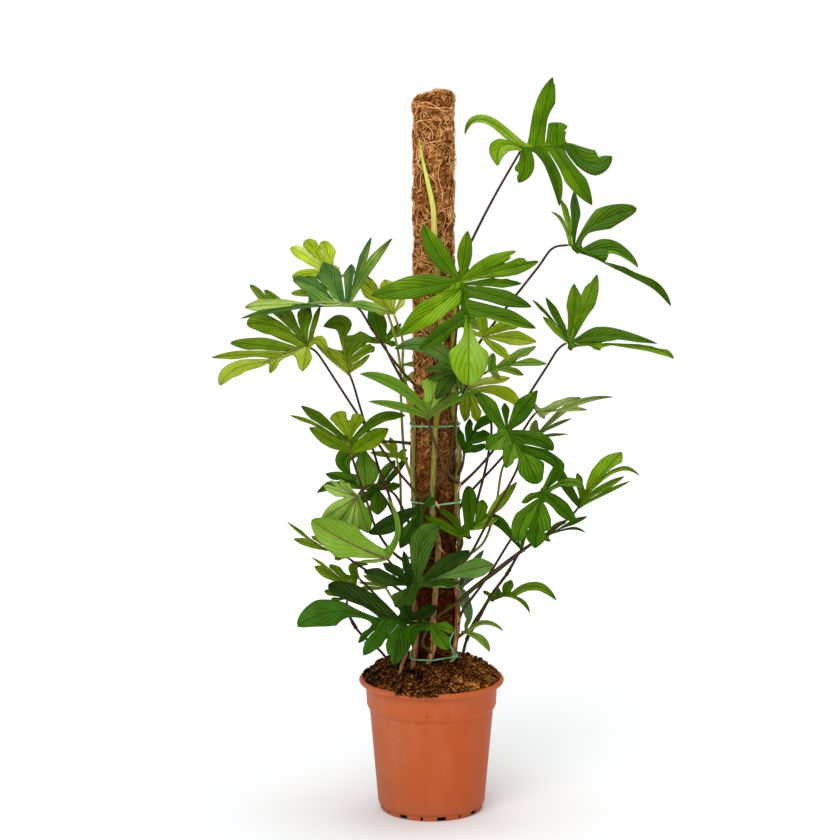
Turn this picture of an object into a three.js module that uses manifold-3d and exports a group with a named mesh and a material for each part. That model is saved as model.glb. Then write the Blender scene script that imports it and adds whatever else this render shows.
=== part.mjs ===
import * as THREE from 'three';
import { mergeVertices } from 'three/addons/utils/BufferGeometryUtils.js';
import Module from 'manifold-3d';

// A climbing philodendron with deeply lobed leaves on a coir pole, in a plastic nursery pot.
// Millimetres, +Z up. The origin is the middle of the pot's foot, at floor level.

// Pot
const POT_HEIGHT = 224, RIM_R = 120, WALL = 2.2, FLOOR_Z = 10, POT_SIDES = 32;
const FOOT_R = 84, FOOT_WALL = 4, PADS = 16, WIDE_SLOT = 15, NARROW_SLOT = 4, BOSS_R = 16;
const SLOT_HEIGHT = 7, DRAIN_HOLES = 8, DRAIN_R = 6, DRAIN_AT = 60;
// Potting mix, heaped towards the pole
const GAP = 0.35, ABOVE_MIX = 300;
const SOIL_BASE = FLOOR_Z + WALL + GAP, SOIL_TOP_Z = 256, STEM_FOOT = 165;
// Pole: a coir sleeve on a stake, both standing in the mix
const POLE_X = 3, COIR_R = 31.5, COIR_LUMP = 1.3, COIR_BASE = 60, COIR_TOP = 1187, COIR_SIDES = 14;
const COIR_RINGS = 10, FIRST_RING = 268, RING_STEP = 100.5;
const STAKE_R = 13, STAKE_BASE = 22, STAKE_TOP = 1155, STAKE_SIDES = 12;
const STEM_CLEAR = COIR_R + COIR_LUMP + 1.2;
// Ties, leaf stalks and blades
const TIE_R = 1.25, TIE_STEPS = 20, KNOT_X = 28, KNOT_R = 2.3;
const TIE_Z = { upper: 651, middle: 524, lower: 266 };
const STALK_STEP = 56, STALK_BASE = 2.9, STALK_TIP = 2.1, SEAT_STUB = 7, BLADE = 0.9;

const V = (x, y, z) => new THREE.Vector3(x, y, z);

// Points of the plant are given as they line up, seen from SIGHT, with an upright plane through the
// pole's axis: x across it, z above the floor, then how far behind (+) or before (-) that plane.
const SIGHT = V(-19, -4600, 1457);
const seen = ([x, z, depth]) =>
  SIGHT.clone().lerp(V(x, 0, z), (depth - SIGHT.y) / -SIGHT.y);

const wasm = await Module();
wasm.setup();

const manifold = (verts, tris) => {
  const vertProperties = new Float32Array(verts.length * 3);
  verts.forEach((p, i) => vertProperties.set([p.x, p.y, p.z], i * 3));
  return new wasm.Manifold(new wasm.Mesh({
    numProp: 3, vertProperties, triVerts: new Uint32Array(tris.flat()),
  }));
};

// A closed tube along points, with a radius at each.
function tube(points, radii, sides) {
  const verts = [], tris = [];
  let up = null;
  points.forEach((p, i) => {
    const ahead = points[Math.min(i + 1, points.length - 1)];
    const behind = points[Math.max(i - 1, 0)];
    const along = ahead.clone().sub(behind).normalize();
    if (!up) up = Math.abs(along.z) > 0.9 ? V(0, -1, 0) : V(0, 0, 1);
    up = up.clone().addScaledVector(along, -up.dot(along)).normalize();
    const side = V().crossVectors(along, up);
    for (let j = 0; j < sides; j++) {
      const a = j / sides * 2 * Math.PI;
      verts.push(p.clone().addScaledVector(side, radii[i] * Math.cos(a))
        .addScaledVector(up, radii[i] * Math.sin(a)));
    }
  });
  for (let i = 0; i + 1 < points.length; i++) {
    for (let j = 0; j < sides; j++) {
      const a = i * sides + j, b = i * sides + (j + 1) % sides;
      tris.push([a, a + sides, b], [b, a + sides, b + sides]);
    }
  }
  const last = (points.length - 1) * sides;
  for (let j = 1; j + 1 < sides; j++) {
    tris.push([0, j, j + 1], [last, last + j + 1, last + j]);
  }
  return manifold(verts, tris);
}

// A solid of revolution about a vertical axis at x, from [radius, z] pairs that start and end on it.
function turned(profile, sides, x = 0, lump = () => 0) {
  const verts = [], tris = [], rings = [];
  profile.forEach(([r, z], i) => {
    if (r === 0) { rings.push([verts.push(V(x, 0, z)) - 1]); return; }
    rings.push(Array.from({ length: sides }, (_, j) => {
      const a = j / sides * 2 * Math.PI, rr = r + lump(i, j);
      return verts.push(V(x + rr * Math.cos(a), rr * Math.sin(a), z)) - 1;
    }));
  });
  for (let i = 0; i + 1 < rings.length; i++) {
    const [a, b] = [rings[i], rings[i + 1]];
    for (let j = 0; j < sides; j++) {
      const k = (j + 1) % sides;
      if (a.length > 1) tris.push([a[j], a[k], b[j % b.length]]);
      if (b.length > 1) tris.push([a[k % a.length], b[k], b[j]]);
    }
  }
  return manifold(verts, tris);
}

// A box standing at (x, y, z), turned about the vertical.
function box(w, d, h, x, y, z, turn) {
  const g = new THREE.BoxGeometry(w, d, h);
  g.deleteAttribute('normal');
  g.deleteAttribute('uv');
  const merged = mergeVertices(g.rotateZ(turn).translate(x, y, z));
  const corner = merged.attributes.position;
  const verts = Array.from({ length: corner.count }, (_, i) => V().fromBufferAttribute(corner, i));
  const index = [...merged.index.array];
  return manifold(verts, Array.from({ length: index.length / 3 }, (_, i) => index.slice(i * 3, i * 3 + 3)));
}

const group = new THREE.Group();
function node(name, body, color, roughness) {
  const { vertProperties, triVerts, numProp } = body.getMesh();
  const geometry = new THREE.BufferGeometry();
  const position = new Float32Array(vertProperties.length / numProp * 3);
  for (let i = 0; i < position.length / 3; i++) {
    position.set(vertProperties.subarray(i * numProp, i * numProp + 3), i * 3);
  }
  geometry.setAttribute('position', new THREE.BufferAttribute(position, 3));
  geometry.setIndex(new THREE.BufferAttribute(new Uint32Array(triVerts), 1));
  geometry.computeVertexNormals();
  const mesh = new THREE.Mesh(geometry,
    new THREE.MeshStandardMaterial({ color, roughness, metalness: 0 }));
  mesh.name = name;
  group.add(mesh);
}

// Stems. Each is [radius, points from the mix upwards].
const STEMS = {
  front: [4.7, [[-8, 244, -48], [3, 275, -46], [2, 310, -46], [6, 360, -46], [9, 410, -46],
    [11, 450, -46], [5, 480, -46], [1, 510, -46], [3, 560, -46], [5, 605, -46], [6, 640, -46],
    [10, 670, -46], [15, 710, -46], [16, 760, -46], [14, 820, -46], [10, 880, -46], [6, 925, -46]]],
  left: [4.4, [[-33, 232, -50], [-27, 265, -42], [-25, 300, -36], [-30, 380, -28], [-30, 440, -26],
    [-28, 510, -28], [-31, 560, -26], [-31, 600, -26], [-30, 650, -28], [-37, 685, -20],
    [-42, 712, -10]]],
  right: [4.6, [[33, 255, -28], [42, 300, -20], [43, 350, -18], [40, 390, -24], [44, 430, -16],
    [46, 455, -16], [42, 500, -20], [42, 550, -20], [45, 590, -16], [42, 635, -20], [36, 668, -30],
    [34, 700, -32], [34, 760, -32], [38, 830, -25], [40, 885, -20]]],
  back: [4.2, [[10, 262, 40], [20, 330, 44], [0, 420, 46], [15, 520, 46], [-5, 620, 46],
    [10, 720, 46], [5, 790, 46]]],
  low_left: [3.0, [[-55, 228, -60], [-41, 265, -62], [-32, 292, -66]]],
  low_right: [2.6, [[50, 262, 8], [58, 285, 5], [76, 318, 0], [98, 360, -6], [130, 405, -12]]],
  low_back: [2.2, [[-70, 252, 30], [-85, 267, 28], [-115, 294, 20], [-132, 315, 6]]],
};

// Leaves. Each row: name, stem, height of the stalk's foot, stalk points, seat of the blade,
// its upper side's facing, end of its rib, tone, lobes. A lobe is [share along the rib, width,
// tip x, tip z, how far the tip stands out of the blade, bend x, bend z]; a lobe with a share of 1,
// or the first one of a blade without a rib, ends the blade.
const LEAVES = [
  ['top_right', 'right', 868, [[50, 915, -12], [68, 955, 8], [100, 1018, 24]],
    [145, 1097, 20], [-0.1, -0.9, 0.42], [225, 1100], 'fresh',
    [[0, 18, 52, 1121, -8, 83, 1142], [0, 24, 106, 1068, 0, 110, 1102],
      [0, 32, 139, 1041, 0, 149, 1067], [0.3, 20, 205, 1003, 0, 196, 1058],
      [0.62, 32, 258, 1005], [0.25, 32, 193, 1210], [0.74, 40, 204, 1136],
      [1, 42, 289, 1084, 0, 253, 1079]]],
  ['high_right', 'right', 730, [[60, 760, 0], [110, 825, 15], [172, 905, 30], [196, 936, 36]],
    [224, 941, 40], [0.3, -0.65, 0.7], [299, 901], 'fresh',
    [[0, 9, 192, 994, 0, 212, 976], [0, 13, 205, 1016, 0, 218, 985], [0.06, 16, 232, 1031],
      [0.1, 38, 326, 1002, 0, 265, 981], [0.3, 36, 329, 904, 0, 291, 931], [0, 10, 236, 926],
      [1, 18, 388, 840, 0, 353, 879]]],
  ['mid_right', 'right', 540, [[70, 568, -30], [100, 603, -25], [137, 662, -15], [187, 742, 0],
    [207, 773, 5]],
    [222, 783, 8], [0.1, -0.7, 0.7], [307, 777], 'fresh',
    [[0, 17, 180, 824], [0, 8, 163, 851, 0, 183, 831], [0, 14, 184, 856],
      [0.02, 24, 231, 874, 0, 230, 836], [0.06, 30, 268, 893, 0, 251, 847],
      [0.12, 30, 366, 780, 0, 281, 792], [1, 15, 394, 755, 0, 364, 770], [0.45, 14, 274, 769],
      [0, 12, 226, 768]]],
  ['front_centre', 'right', 718, [[37, 768, -48], [41, 812, -84], [44, 850, -108]],
    [47, 882, -125], [0.05, -0.88, 0.47], [60, 805], 'fresh',
    [[0, 26, -16, 976, 0, 12, 930], [0, 22, 58, 964], [0, 22, 136, 934], [0, 30, 174, 917],
      [0.05, 20, 146, 878], [0.12, 30, 162, 840], [0.55, 28, 169, 805], [0, 40, -99, 858],
      [0.15, 40, -51, 795], [0.75, 24, -21, 769], [1, 62, 60, 711]]],
  ['high_left', 'front', 688, [[-20, 706, -50], [-60, 750, -42], [-100, 809, -32],
    [-117, 836, -26]],
    [-135, 847, -22], [-0.05, -0.65, 0.75], [-235, 843], 'deep',
    [[0, 12, -64, 953, 0, -104, 900], [0, 16, -97, 958, 0, -116, 905], [0, 22, -132, 911],
      [0.1, 34, -183, 911, 0, -172, 884], [0.2, 32, -223, 884, 0, -187, 874],
      [1, 20, -305, 838], [0, 16, -61, 828], [0.55, 18, -311, 820]]],
  ['mid_left', 'front', 530, [[-20, 526, -54], [-35, 545, -54], [-60, 575, -52], [-92, 622, -48],
    [-115, 655, -50], [-158, 722, -58], [-177, 752, -60], [-188, 767, -60]],
    [-202, 776, -60], [-0.1, -0.7, 0.7], [-275, 748], 'fresh',
    [[0, 10, -180, 843, 0, -191, 812], [0, 22, -195, 843, 0, -206, 812], [0, 16, -270, 869, 0, -232, 830],
      [0, 18, -294, 878], [0, 32, -301, 812, 0, -253, 808], [0.25, 24, -327, 781],
      [0.5, 16, -358, 757], [1, 28, -344, 711, 0, -319, 738], [0, 18, -169, 764, 0, -184, 786],
      [0, 24, -206, 734],
      [0.65, 12, -262, 729]]],
  ['inner_left', 'left', 432, [[-58, 490, -30], [-70, 530, -30], [-85, 570, -30],
    [-100, 620, -30], [-118, 680, -32], [-128, 715, -33]],
    [-135, 733, -32], [0, -0.75, 0.66], [-146, 800], 'deep',
    [[0, 12, -100, 764], [0.3, 28, -92, 786], [0, 14, -192, 788, 0, -169, 766],
      [1, 20, -197, 814, 0, -159, 812]]],
  ['back_high_left', 'left', 548, [[-43, 590, -14], [-50, 690, 2], [-51, 740, 8],
    [-62, 800, 20], [-88, 868, 38], [-115, 896, 46]],
    [-150, 890, 50], [0, -0.6, 0.8], [-178, 905], 'young',
    [[0, 14, -157, 905], [0.2, 24, -174, 947], [0.6, 22, -203, 949], [1, 22, -228, 938],
      [0.5, 16, -226, 889], [0, 12, -222, 858, 0, -184, 866]]],
  ['back_inner_left', 'left', 695, [[-47, 745, 20], [-47, 785, 42], [-54, 808, 52]],
    [-62, 830, 60], [0.1, -0.9, 0.42], null, 'young',
    [[0, 26, -120, 891], [0, 22, -72, 886], [0, 14, -98, 836], [0, 14, -44, 858]]],
  ['behind_centre', 'right', 672, [[48, 690, -28], [55, 715, -26], [70, 765, -12]],
    [84, 792, -4], [0, -0.7, 0.7], null, 'young',
    [[0, 22, 171, 781], [0, 18, 150, 818], [0, 18, 128, 752], [0, 16, 80, 835],
      [0, 14, 52, 800]]],
  ['behind_right', 'right', 690, [[52, 705, -8], [70, 722, 8]],
    [95, 736, 14], [0.05, -0.6, 0.8], [130, 748], 'grey',
    [[0, 14, 100, 765], [0.5, 18, 170, 776], [1, 18, 189, 744], [0, 14, 110, 720],
      [0.4, 14, 150, 728]]],
  ['pole_front', 'front', 540, [[22, 562, -52], [32, 602, -53], [38, 650, -55], [42, 700, -64]],
    [43, 737, -76], [-0.1, -0.85, 0.5], null, 'teal',
    [[0, 24, -61, 771, 0, -5, 775], [0, 14, -13, 738], [0, 14, -6, 721], [0, 26, 6, 688],
      [0, 16, 50, 700]]],
  ['pole_front_pale', 'right', 548, [[26, 568, -72], [12, 598, -80], [0, 632, -88]],
    [-7, 659, -97], [0, -0.9, 0.43], [-1, 682], 'pale',
    [[0, 14, -104, 685, 0, -50, 676], [0.4, 20, -117, 730, 0, -62, 714], [1, 58, 14, 724],
      [0, 12, 79, 701, 0, 40, 688], [0.4, 14, 50, 702]]],
  ['inner_left_dark', 'left', 700, [[-60, 742, 18], [-70, 762, 34]],
    [-78, 782, 45], [0, -0.8, 0.6], null, 'dark',
    [[0, 26, -98, 843], [0, 14, -49, 813], [0, 14, -120, 790], [0, 12, -56, 778]]],
  ['young_right', 'right', 462, [[66, 496, -12], [80, 540, -6], [93, 600, -2], [97, 650, 0],
    [86, 680, 8]],
    [60, 706, 20], [0, 0.9, 0.43], null, 'young',
    [[0, 20, 128, 724], [0, 16, 146, 671, 0, 112, 702], [0, 18, 90, 670], [0, 22, 72, 649],
      [0, 20, 52, 650], [0, 14, 40, 722]]],
  ['big_right', 'right', 402, [[62, 428, -25], [90, 480, -35], [118, 530, -42], [143, 585, -48],
    [138, 620, -60]],
    [122, 638, -80], [0.1, -0.85, 0.5], [150, 600], 'deep',
    [[0, 24, 71, 703], [0, 16, 118, 689], [0, 26, 174, 706], [0.25, 16, 201, 604, 0, 175, 618],
      [0.6, 16, 187, 541, 0, 204, 586], [1, 40, 178, 547], [0.45, 26, 121, 577],
      [0.1, 30, 86, 604]]],
  ['grey_right', 'right', 500, [[60, 530, -10], [115, 592, -5], [150, 638, -2], [162, 657, 0]],
    [172, 668, 2], [0, -0.55, 0.83], [205, 671], 'grey',
    [[0, 10, 163, 684], [0.4, 20, 243, 692], [1, 12, 254, 671], [0, 12, 184, 656]]],
  ['slim_right', 'right', 415, [[85, 450, 18], [105, 512, 32], [118, 580, 34], [140, 608, 34]],
    [163, 624, 34], [0, -0.55, 0.83], [185, 640], 'grey',
    [[0, 14, 170, 655], [1, 14, 297, 692, 0, 232, 680], [0.5, 8, 229, 657], [0, 8, 223, 631]]],
  ['low_right', 'front', 318, [[45, 352, -50], [60, 367, -48], [100, 400, -44], [148, 437, -38],
    [178, 458, -36], [222, 488, -32], [233, 499, -31]],
    [243, 512, -30], [0.15, -0.75, 0.65], [258, 540], 'fresh',
    [[0, 16, 213, 546], [0.4, 16, 238, 567],
      [1, 36, 311, 601], [0.6, 12, 341, 561, 0, 300, 572], [0.35, 13, 316, 561],
      [0, 8, 326, 553]]],
  ['drooping_right', 'right', 300, [[48, 328, -22], [80, 375, -30], [100, 405, -34],
    [130, 455, -42], [152, 486, -48], [172, 517, -58]],
    [183, 535, -66], [0.05, -0.9, 0.42], [176, 512], 'deep',
    [[0, 14, 148, 516], [1, 38, 172, 437], [0.6, 24, 143, 440, 0, 150, 481], [0, 22, 241, 482]]],
  ['small_right', 'right', 342, [[70, 372, -10], [110, 403, -8], [150, 436, -5]],
    [180, 458, -3], [0, -0.6, 0.8], [205, 470], 'fresh',
    [[0, 10, 178, 474], [0.4, 14, 222, 488], [1, 12, 256, 494], [0.5, 8, 253, 466, 0, 228, 474],
      [0, 10, 196, 452]]],
  ['pole_right', 'right', 432, [[50, 447, -30]],
    [50, 461, -46], [0.4, -0.85, 0.35], [96, 498], 'fresh',
    [[0, 16, -13, 495], [0, 12, 10, 505, 0, 32, 492], [0.3, 20, 45, 503], [0.55, 28, 76, 513],
      [1, 16, 110, 510], [0.3, 12, 95, 481], [0, 10, 66, 458]]],
  ['bottom_right', 'low_right', 285, [[68, 312, 14], [84, 338, 16]],
    [96, 359, 16], [0, -0.65, 0.76], [135, 362], 'fresh',
    [[0, 8, 85, 369], [0.3, 10, 110, 374], [0.6, 18, 132, 387], [1, 18, 206, 352, 0, 172, 376],
      [0.85, 8, 162, 331, 0, 150, 350], [0, 10, 102, 350]]],
  ['bottom_slim', 'right', 285, [],
    [56, 299, -24], [0, -0.6, 0.8], null, 'pale',
    [[0, 10, 119, 300, 0, 88, 315], [0, 14, 96, 265, 0, 82, 286], [0, 8, 60, 322]]],
  ['back_right', 'back', 350, [[32, 366, 62]],
    [45, 375, 74], [0.3, 0.5, 0.8], null, 'dark',
    [[0, 26, 62, 312], [0, 14, 86, 438], [0, 12, 97, 408]]],
  ['veined_left', 'left', 402, [[-70, 440, -45], [-93, 478, -66], [-100, 500, -73],
    [-120, 560, -78]],
    [-132, 600, -90], [0, -0.92, 0.4], [-136, 627], 'fresh',
    [[0, 15, -200, 638], [0.35, 10, -234, 662, 0, -184, 643], [0.7, 20, -214, 679], [1, 60, -139, 669],
      [0, 26, -69, 633], [0.7, 20, -41, 661, 0, -88, 654]]],
  ['ovate_left', 'left', 608, [[-48, 617, -20], [-80, 618, -15]],
    [-112, 607, -12], [0, -0.92, 0.38], null, 'deep',
    [[0, 36, -108, 537], [0, 18, -127, 560, 0, -143, 590], [0, 12, -124, 622]]],
  ['pale_fan_left', 'left', 455, [[-40, 490, -30], [-50, 512, -34], [-60, 530, -38],
    [-75, 541, -44], [-92, 547, -50], [-110, 542, -56]],
    [-122, 527, -62], [-0.3, -0.95, -0.1], null, 'pale',
    [[0, 22, -168, 491], [0, 16, -177, 545], [0, 12, -166, 554], [0, 14, -151, 557],
      [0, 22, -162, 520], [0, 24, -138, 474], [0, 26, -103, 466]]],
  ['hood_left', 'left', 362, [[-50, 388, -50], [-60, 406, -75]],
    [-73, 423, -100], [-0.1, -0.97, 0.2], [-152, 468], 'pale',
    [[1, 36, -198, 487], [0.75, 30, -180, 457], [0.4, 34, -141, 426], [0, 10, -118, 418],
      [0.8, 34, -166, 487], [0.42, 38, -127, 488], [0, 20, -75, 530, 0, -58, 475]], 0.85],
  ['back_low_left', 'left', 345, [[-70, 382, -20], [-110, 405, -30]],
    [-140, 426, -38], [0, -0.75, 0.66], [-178, 440], 'deep',
    [[1, 14, -227, 456], [0.5, 24, -197, 461], [0.9, 8, -237, 482, 6, -208, 462],
      [0, 14, -150, 452], [0, 12, -160, 422]]],
  ['bottom_left', 'left', 292, [[-45, 312, -14], [-72, 340, -5], [-100, 370, -2]],
    [-122, 392, 0], [0, -0.75, 0.66], [-148, 385], 'fresh',
    [[0, 16, -103, 413, 0, -128, 410], [0.8, 18, -168, 413], [0.95, 8, -198, 424, 4, -168, 404],
      [1, 20, -193, 410], [0, 12, -130, 376]]],
  ['bottom_back_left', 'low_back', 308, [[-139, 335, 0]],
    [-139, 356, -4], [0, -0.8, 0.6], null, 'fresh',
    [[0, 20, -177, 369], [0, 10, -166, 355], [0, 14, -118, 372]]],
  ['front_low_left', 'low_left', 288, [[-33, 306, -66]],
    [-36, 318, -80], [0.05, -0.75, 0.65], [-80, 318], 'dark',
    [[0.55, 40, -167, 384], [0, 28, -46, 350], [0, 24, 10, 343], [1, 60, -221, 308, 0, -165, 331],
      [0.85, 16, -122, 280], [0.7, 32, -112, 257], [0.2, 32, -62, 241], [0, 20, -10, 300]]],
  ['front_low', 'left', 356, [[-30, 364, -72]],
    [-32, 378, -112], [0.05, -0.92, 0.38], [5, 390], 'teal',
    [[1, 42, 102, 413], [0.5, 24, 63, 437], [0.2, 36, 14, 477, 0, -16, 450], [0, 14, -46, 436],
      [0, 20, -80, 416], [0, 26, -112, 402], [0, 34, -60, 339], [0.6, 22, 46, 381]]],
  ['front_lowest', 'front', 262, [[-14, 278, -64], [-10, 296, -82]],
    [0, 311, -96], [0, -0.7, 0.7], null, 'deep',
    [[0, 26, 28, 269], [0, 18, 39, 302], [0, 20, -30, 274, 0, -30, 302], [0, 14, -20, 318]]],
  ['pole_left', 'left', 476, [[-26, 490, -46]],
    [-18, 506, -63], [0, -0.97, 0.24], null, 'dark',
    [[0, 28, -52, 440], [0, 28, -103, 465, 0, -65, 482], [0, 18, 5, 525], [0, 18, -28, 445]]],
  ['inner_right', 'right', 560, [[50, 578, -34]],
    [54, 602, -46], [0, -0.97, 0.25], [72, 640], 'dark',
    [[0, 14, 44, 640], [0.4, 16, 62, 657], [1, 16, 104, 652, 0, 88, 654], [0, 14, 92, 613],
      [0.5, 24, 95, 632]]],
  ['young_left', 'left', 440, [[-45, 460, 0], [-50, 510, 10], [-52, 565, 14]],
    [-58, 594, 16], [0, -0.85, 0.5], null, 'young',
    [[0, 14, -68, 626], [0, 9, -88, 629], [0, 10, -101, 600], [0, 10, -40, 606],
      [0, 10, -38, 588]]],
  ['dark_left', 'left', 446, [[-55, 480, 12], [-74, 520, 26]],
    [-88, 538, 28], [0, -0.85, 0.5], null, 'dark',
    [[0, 14, -190, 533], [0, 20, -68, 586], [0, 14, -38, 593], [0, 12, -50, 546],
      [0, 28, -88, 496], [0, 16, -141, 508], [0, 18, -176, 566]]],
  ['dark_right', 'low_right', 398, [],
    [147, 438, -16], [0, -0.97, 0.25], null, 'dark',
    [[0, 18, 65, 474, 0, 105, 488], [0, 12, 132, 484], [0, 22, 152, 480]]],
  ['bottom_yellow', 'left', 310, [[-52, 338, 10], [-66, 358, 22]],
    [-76, 375, 26], [0, -0.8, 0.6], null, 'young',
    [[0, 10, -113, 395], [0, 9, -121, 383], [0, 11, -122, 372], [0, 12, -60, 395]]],
  ['back_high', 'back', 760, [[2, 800, 66], [8, 830, 84]],
    [20, 850, 100], [0.1, 0.75, 0.65], [22, 815], 'deep',
    [[1, 40, 20, 745], [0.5, 28, -60, 790], [0.5, 28, 100, 795], [0, 24, -50, 860],
      [0, 24, 95, 870], [0, 18, -15, 900], [0, 18, 55, 905]]],
  ['back_mid', 'back', 690, [[8, 715, 58]],
    [10, 740, 80], [0, 0.45, 0.89], [10, 729], 'deep',
    [[1, 38, 12, 698], [0.5, 28, -45, 718], [0.5, 28, 75, 716], [0, 22, -50, 745],
      [0, 22, 85, 745]]],
  ['back_low', 'back', 370, [[0, 395, 58]],
    [-5, 418, 78], [0, 0.45, 0.89], [-5, 407], 'deep',
    [[1, 38, -8, 376], [0.5, 28, -65, 394], [0.5, 28, 60, 392], [0, 22, -60, 424],
      [0, 22, 58, 424]]],
];
const TONES = {
  fresh: '#5f9420', deep: '#3c7a1c', dark: '#24541a', teal: '#3a7044', grey: '#6f9a4c',
  young: '#8fae28', pale: '#86b04a',
};

// Where the line of sight through (x, z) meets the blade's plane, kept within reach of its seat.
const REACH = 130, EDGE_AIM = 0.45, FREE = 12;
function onBlade(x, z, seat, facing) {
  const ray = V(x, 0, z).sub(SIGHT);
  const t = seat.clone().sub(SIGHT).dot(facing) / ray.dot(facing);
  const y = THREE.MathUtils.clamp(SIGHT.y + ray.y * t, seat.y - REACH, seat.y + REACH);
  return seen([x, z, y]);
}

// Half-width along a lobe as a share of its widest: a narrow neck, widest past the middle, pointed.
const swell = f => f < 0.5
  ? 0.5 + 0.5 * Math.sin(Math.PI * f)
  : Math.pow(Math.cos(Math.PI * (f - 0.5)), 0.85);

class Lobe {
  constructor([share, width, x, z, out = 0, bendX, bendZ], leaf) {
    const { seat, facing, ribEnd } = leaf;
    this.share = share;
    this.half = width / 2;
    this.root = seat.clone().lerp(ribEnd, share);
    this.tip = onBlade(x, z, seat, facing).addScaledVector(facing, out);
    const mid = this.root.clone().lerp(this.tip, 0.5);
    this.pull = bendX === undefined
      ? mid.addScaledVector(facing, this.root.distanceTo(this.tip) * 0.06)
      : onBlade(bendX, bendZ, seat, facing).multiplyScalar(2).sub(mid);
    this.facing = facing;
    this.length = this.root.distanceTo(this.tip);
    this.aim = this.pull.clone().sub(this.root).normalize();
    this.line = Array.from({ length: 13 }, (_, i) => this.at(i / 12));
  }

  at(f) {
    return this.root.clone().multiplyScalar((1 - f) ** 2)
      .addScaledVector(this.pull, 2 * f * (1 - f)).addScaledVector(this.tip, f * f);
  }

  heading(f) {
    return this.pull.clone().sub(this.root).multiplyScalar(1 - f)
      .addScaledVector(this.tip.clone().sub(this.pull), f).normalize();
  }

  // Across the lobe, to the side that follows it round the blade.
  across(f) {
    return V().crossVectors(this.heading(f), this.facing).normalize();
  }

  edge(f, turn, neighbour) {
    const mid = this.at(f);
    const room = 0.92 * Math.min(...neighbour.line.map(p => p.distanceTo(mid)))
      * this.half / (this.half + neighbour.half);
    const half = Math.min(this.half * swell(f), Math.max(room, 1.2));
    return mid.addScaledVector(this.across(f), turn * half)
      .addScaledVector(this.facing, half * 0.14);
  }
}

// A direction's angle round the blade, from its length towards the side that comes later in the ring.
const turnOf = (v, { along, facing }) =>
  Math.atan2(V().crossVectors(v, along).dot(facing), v.dot(along));

// Lobes in order round the blade: up one side of the rib, the end lobe, down the other side.
function ring(lobes, leaf, hasRib) {
  const end = hasRib ? lobes.find(l => l.share === 1) : lobes[0];
  const rest = lobes.filter(l => l !== end).map(l => [l, turnOf(l.aim, leaf)]);
  const before = rest.filter(([, a]) => a < 0).sort((p, q) => p[0].share - q[0].share || p[1] - q[1]);
  const after = rest.filter(([, a]) => a >= 0).sort((p, q) => q[0].share - p[0].share || p[1] - q[1]);
  return [...before.map(([l]) => l), end, ...after.map(([l]) => l)];
}

// Twice a triangle's area as it shows on the blade, below 0 where it is turned over.
const shown = (p, q, r, facing) =>
  V().crossVectors(q.clone().sub(p), r.clone().sub(p)).dot(facing);

// The notch between neighbouring lobes: midway between their edges, as near the rib as their necks
// allow, or on a webbed blade as far out as the web reaches. The basal one is behind the seat. Of
// the places round there it takes the one that folds neither lobe.
function notch(a, b, leaf, basal) {
  const { facing, along } = leaf;
  const webbed = leaf.web > 0 && a.share > 0 && b.share > 0;
  const reach = (webbed ? leaf.web : 0.42) * Math.min(a.length, b.length);
  if (webbed) return a.at(reach / a.length).lerp(b.at(reach / b.length), 0.5);
  const [edgeA, edgeB] = [a.edge(EDGE_AIM, 1, b), b.edge(EDGE_AIM, -1, a)];
  const from = turnOf(edgeA.clone().sub(a.root), leaf), to = turnOf(edgeB.clone().sub(b.root), leaf);
  let between = THREE.MathUtils.euclideanModulo(to - from, 2 * Math.PI);
  if (!basal && between > Math.PI) between -= 2 * Math.PI;
  const side = V().crossVectors(along, facing).normalize();
  const foot = a.root.clone().lerp(b.root, 0.5);
  const room = n => Math.min(shown(a.root, n, edgeA, facing), shown(b.root, edgeB, n, facing),
    a.share === b.share ? Infinity : shown(a.root, b.root, n, facing)) / n.distanceTo(foot);
  let best = null, most = -Infinity;
  for (const r of basal ? [4, 7] : [Math.min(6, reach), 9, 13, 18]) {
    const apart = a.at(r / a.length).distanceTo(b.at(r / b.length)) > 0.55 * (a.half + b.half);
    for (const swing of [0, 0.25, -0.25, 0.5, -0.5, 0.8, -0.8]) {
      const turn = from + between / 2 + swing;
      const n = foot.clone().addScaledVector(along, r * Math.cos(turn))
        .addScaledVector(side, r * Math.sin(turn));
      const fit = Math.min(room(n), FREE) + (apart ? FREE : 0) - 0.1 * r - Math.abs(swing);
      if (r <= reach + 4 && fit > most) [best, most] = [n, fit];
    }
  }
  return best;
}

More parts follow.
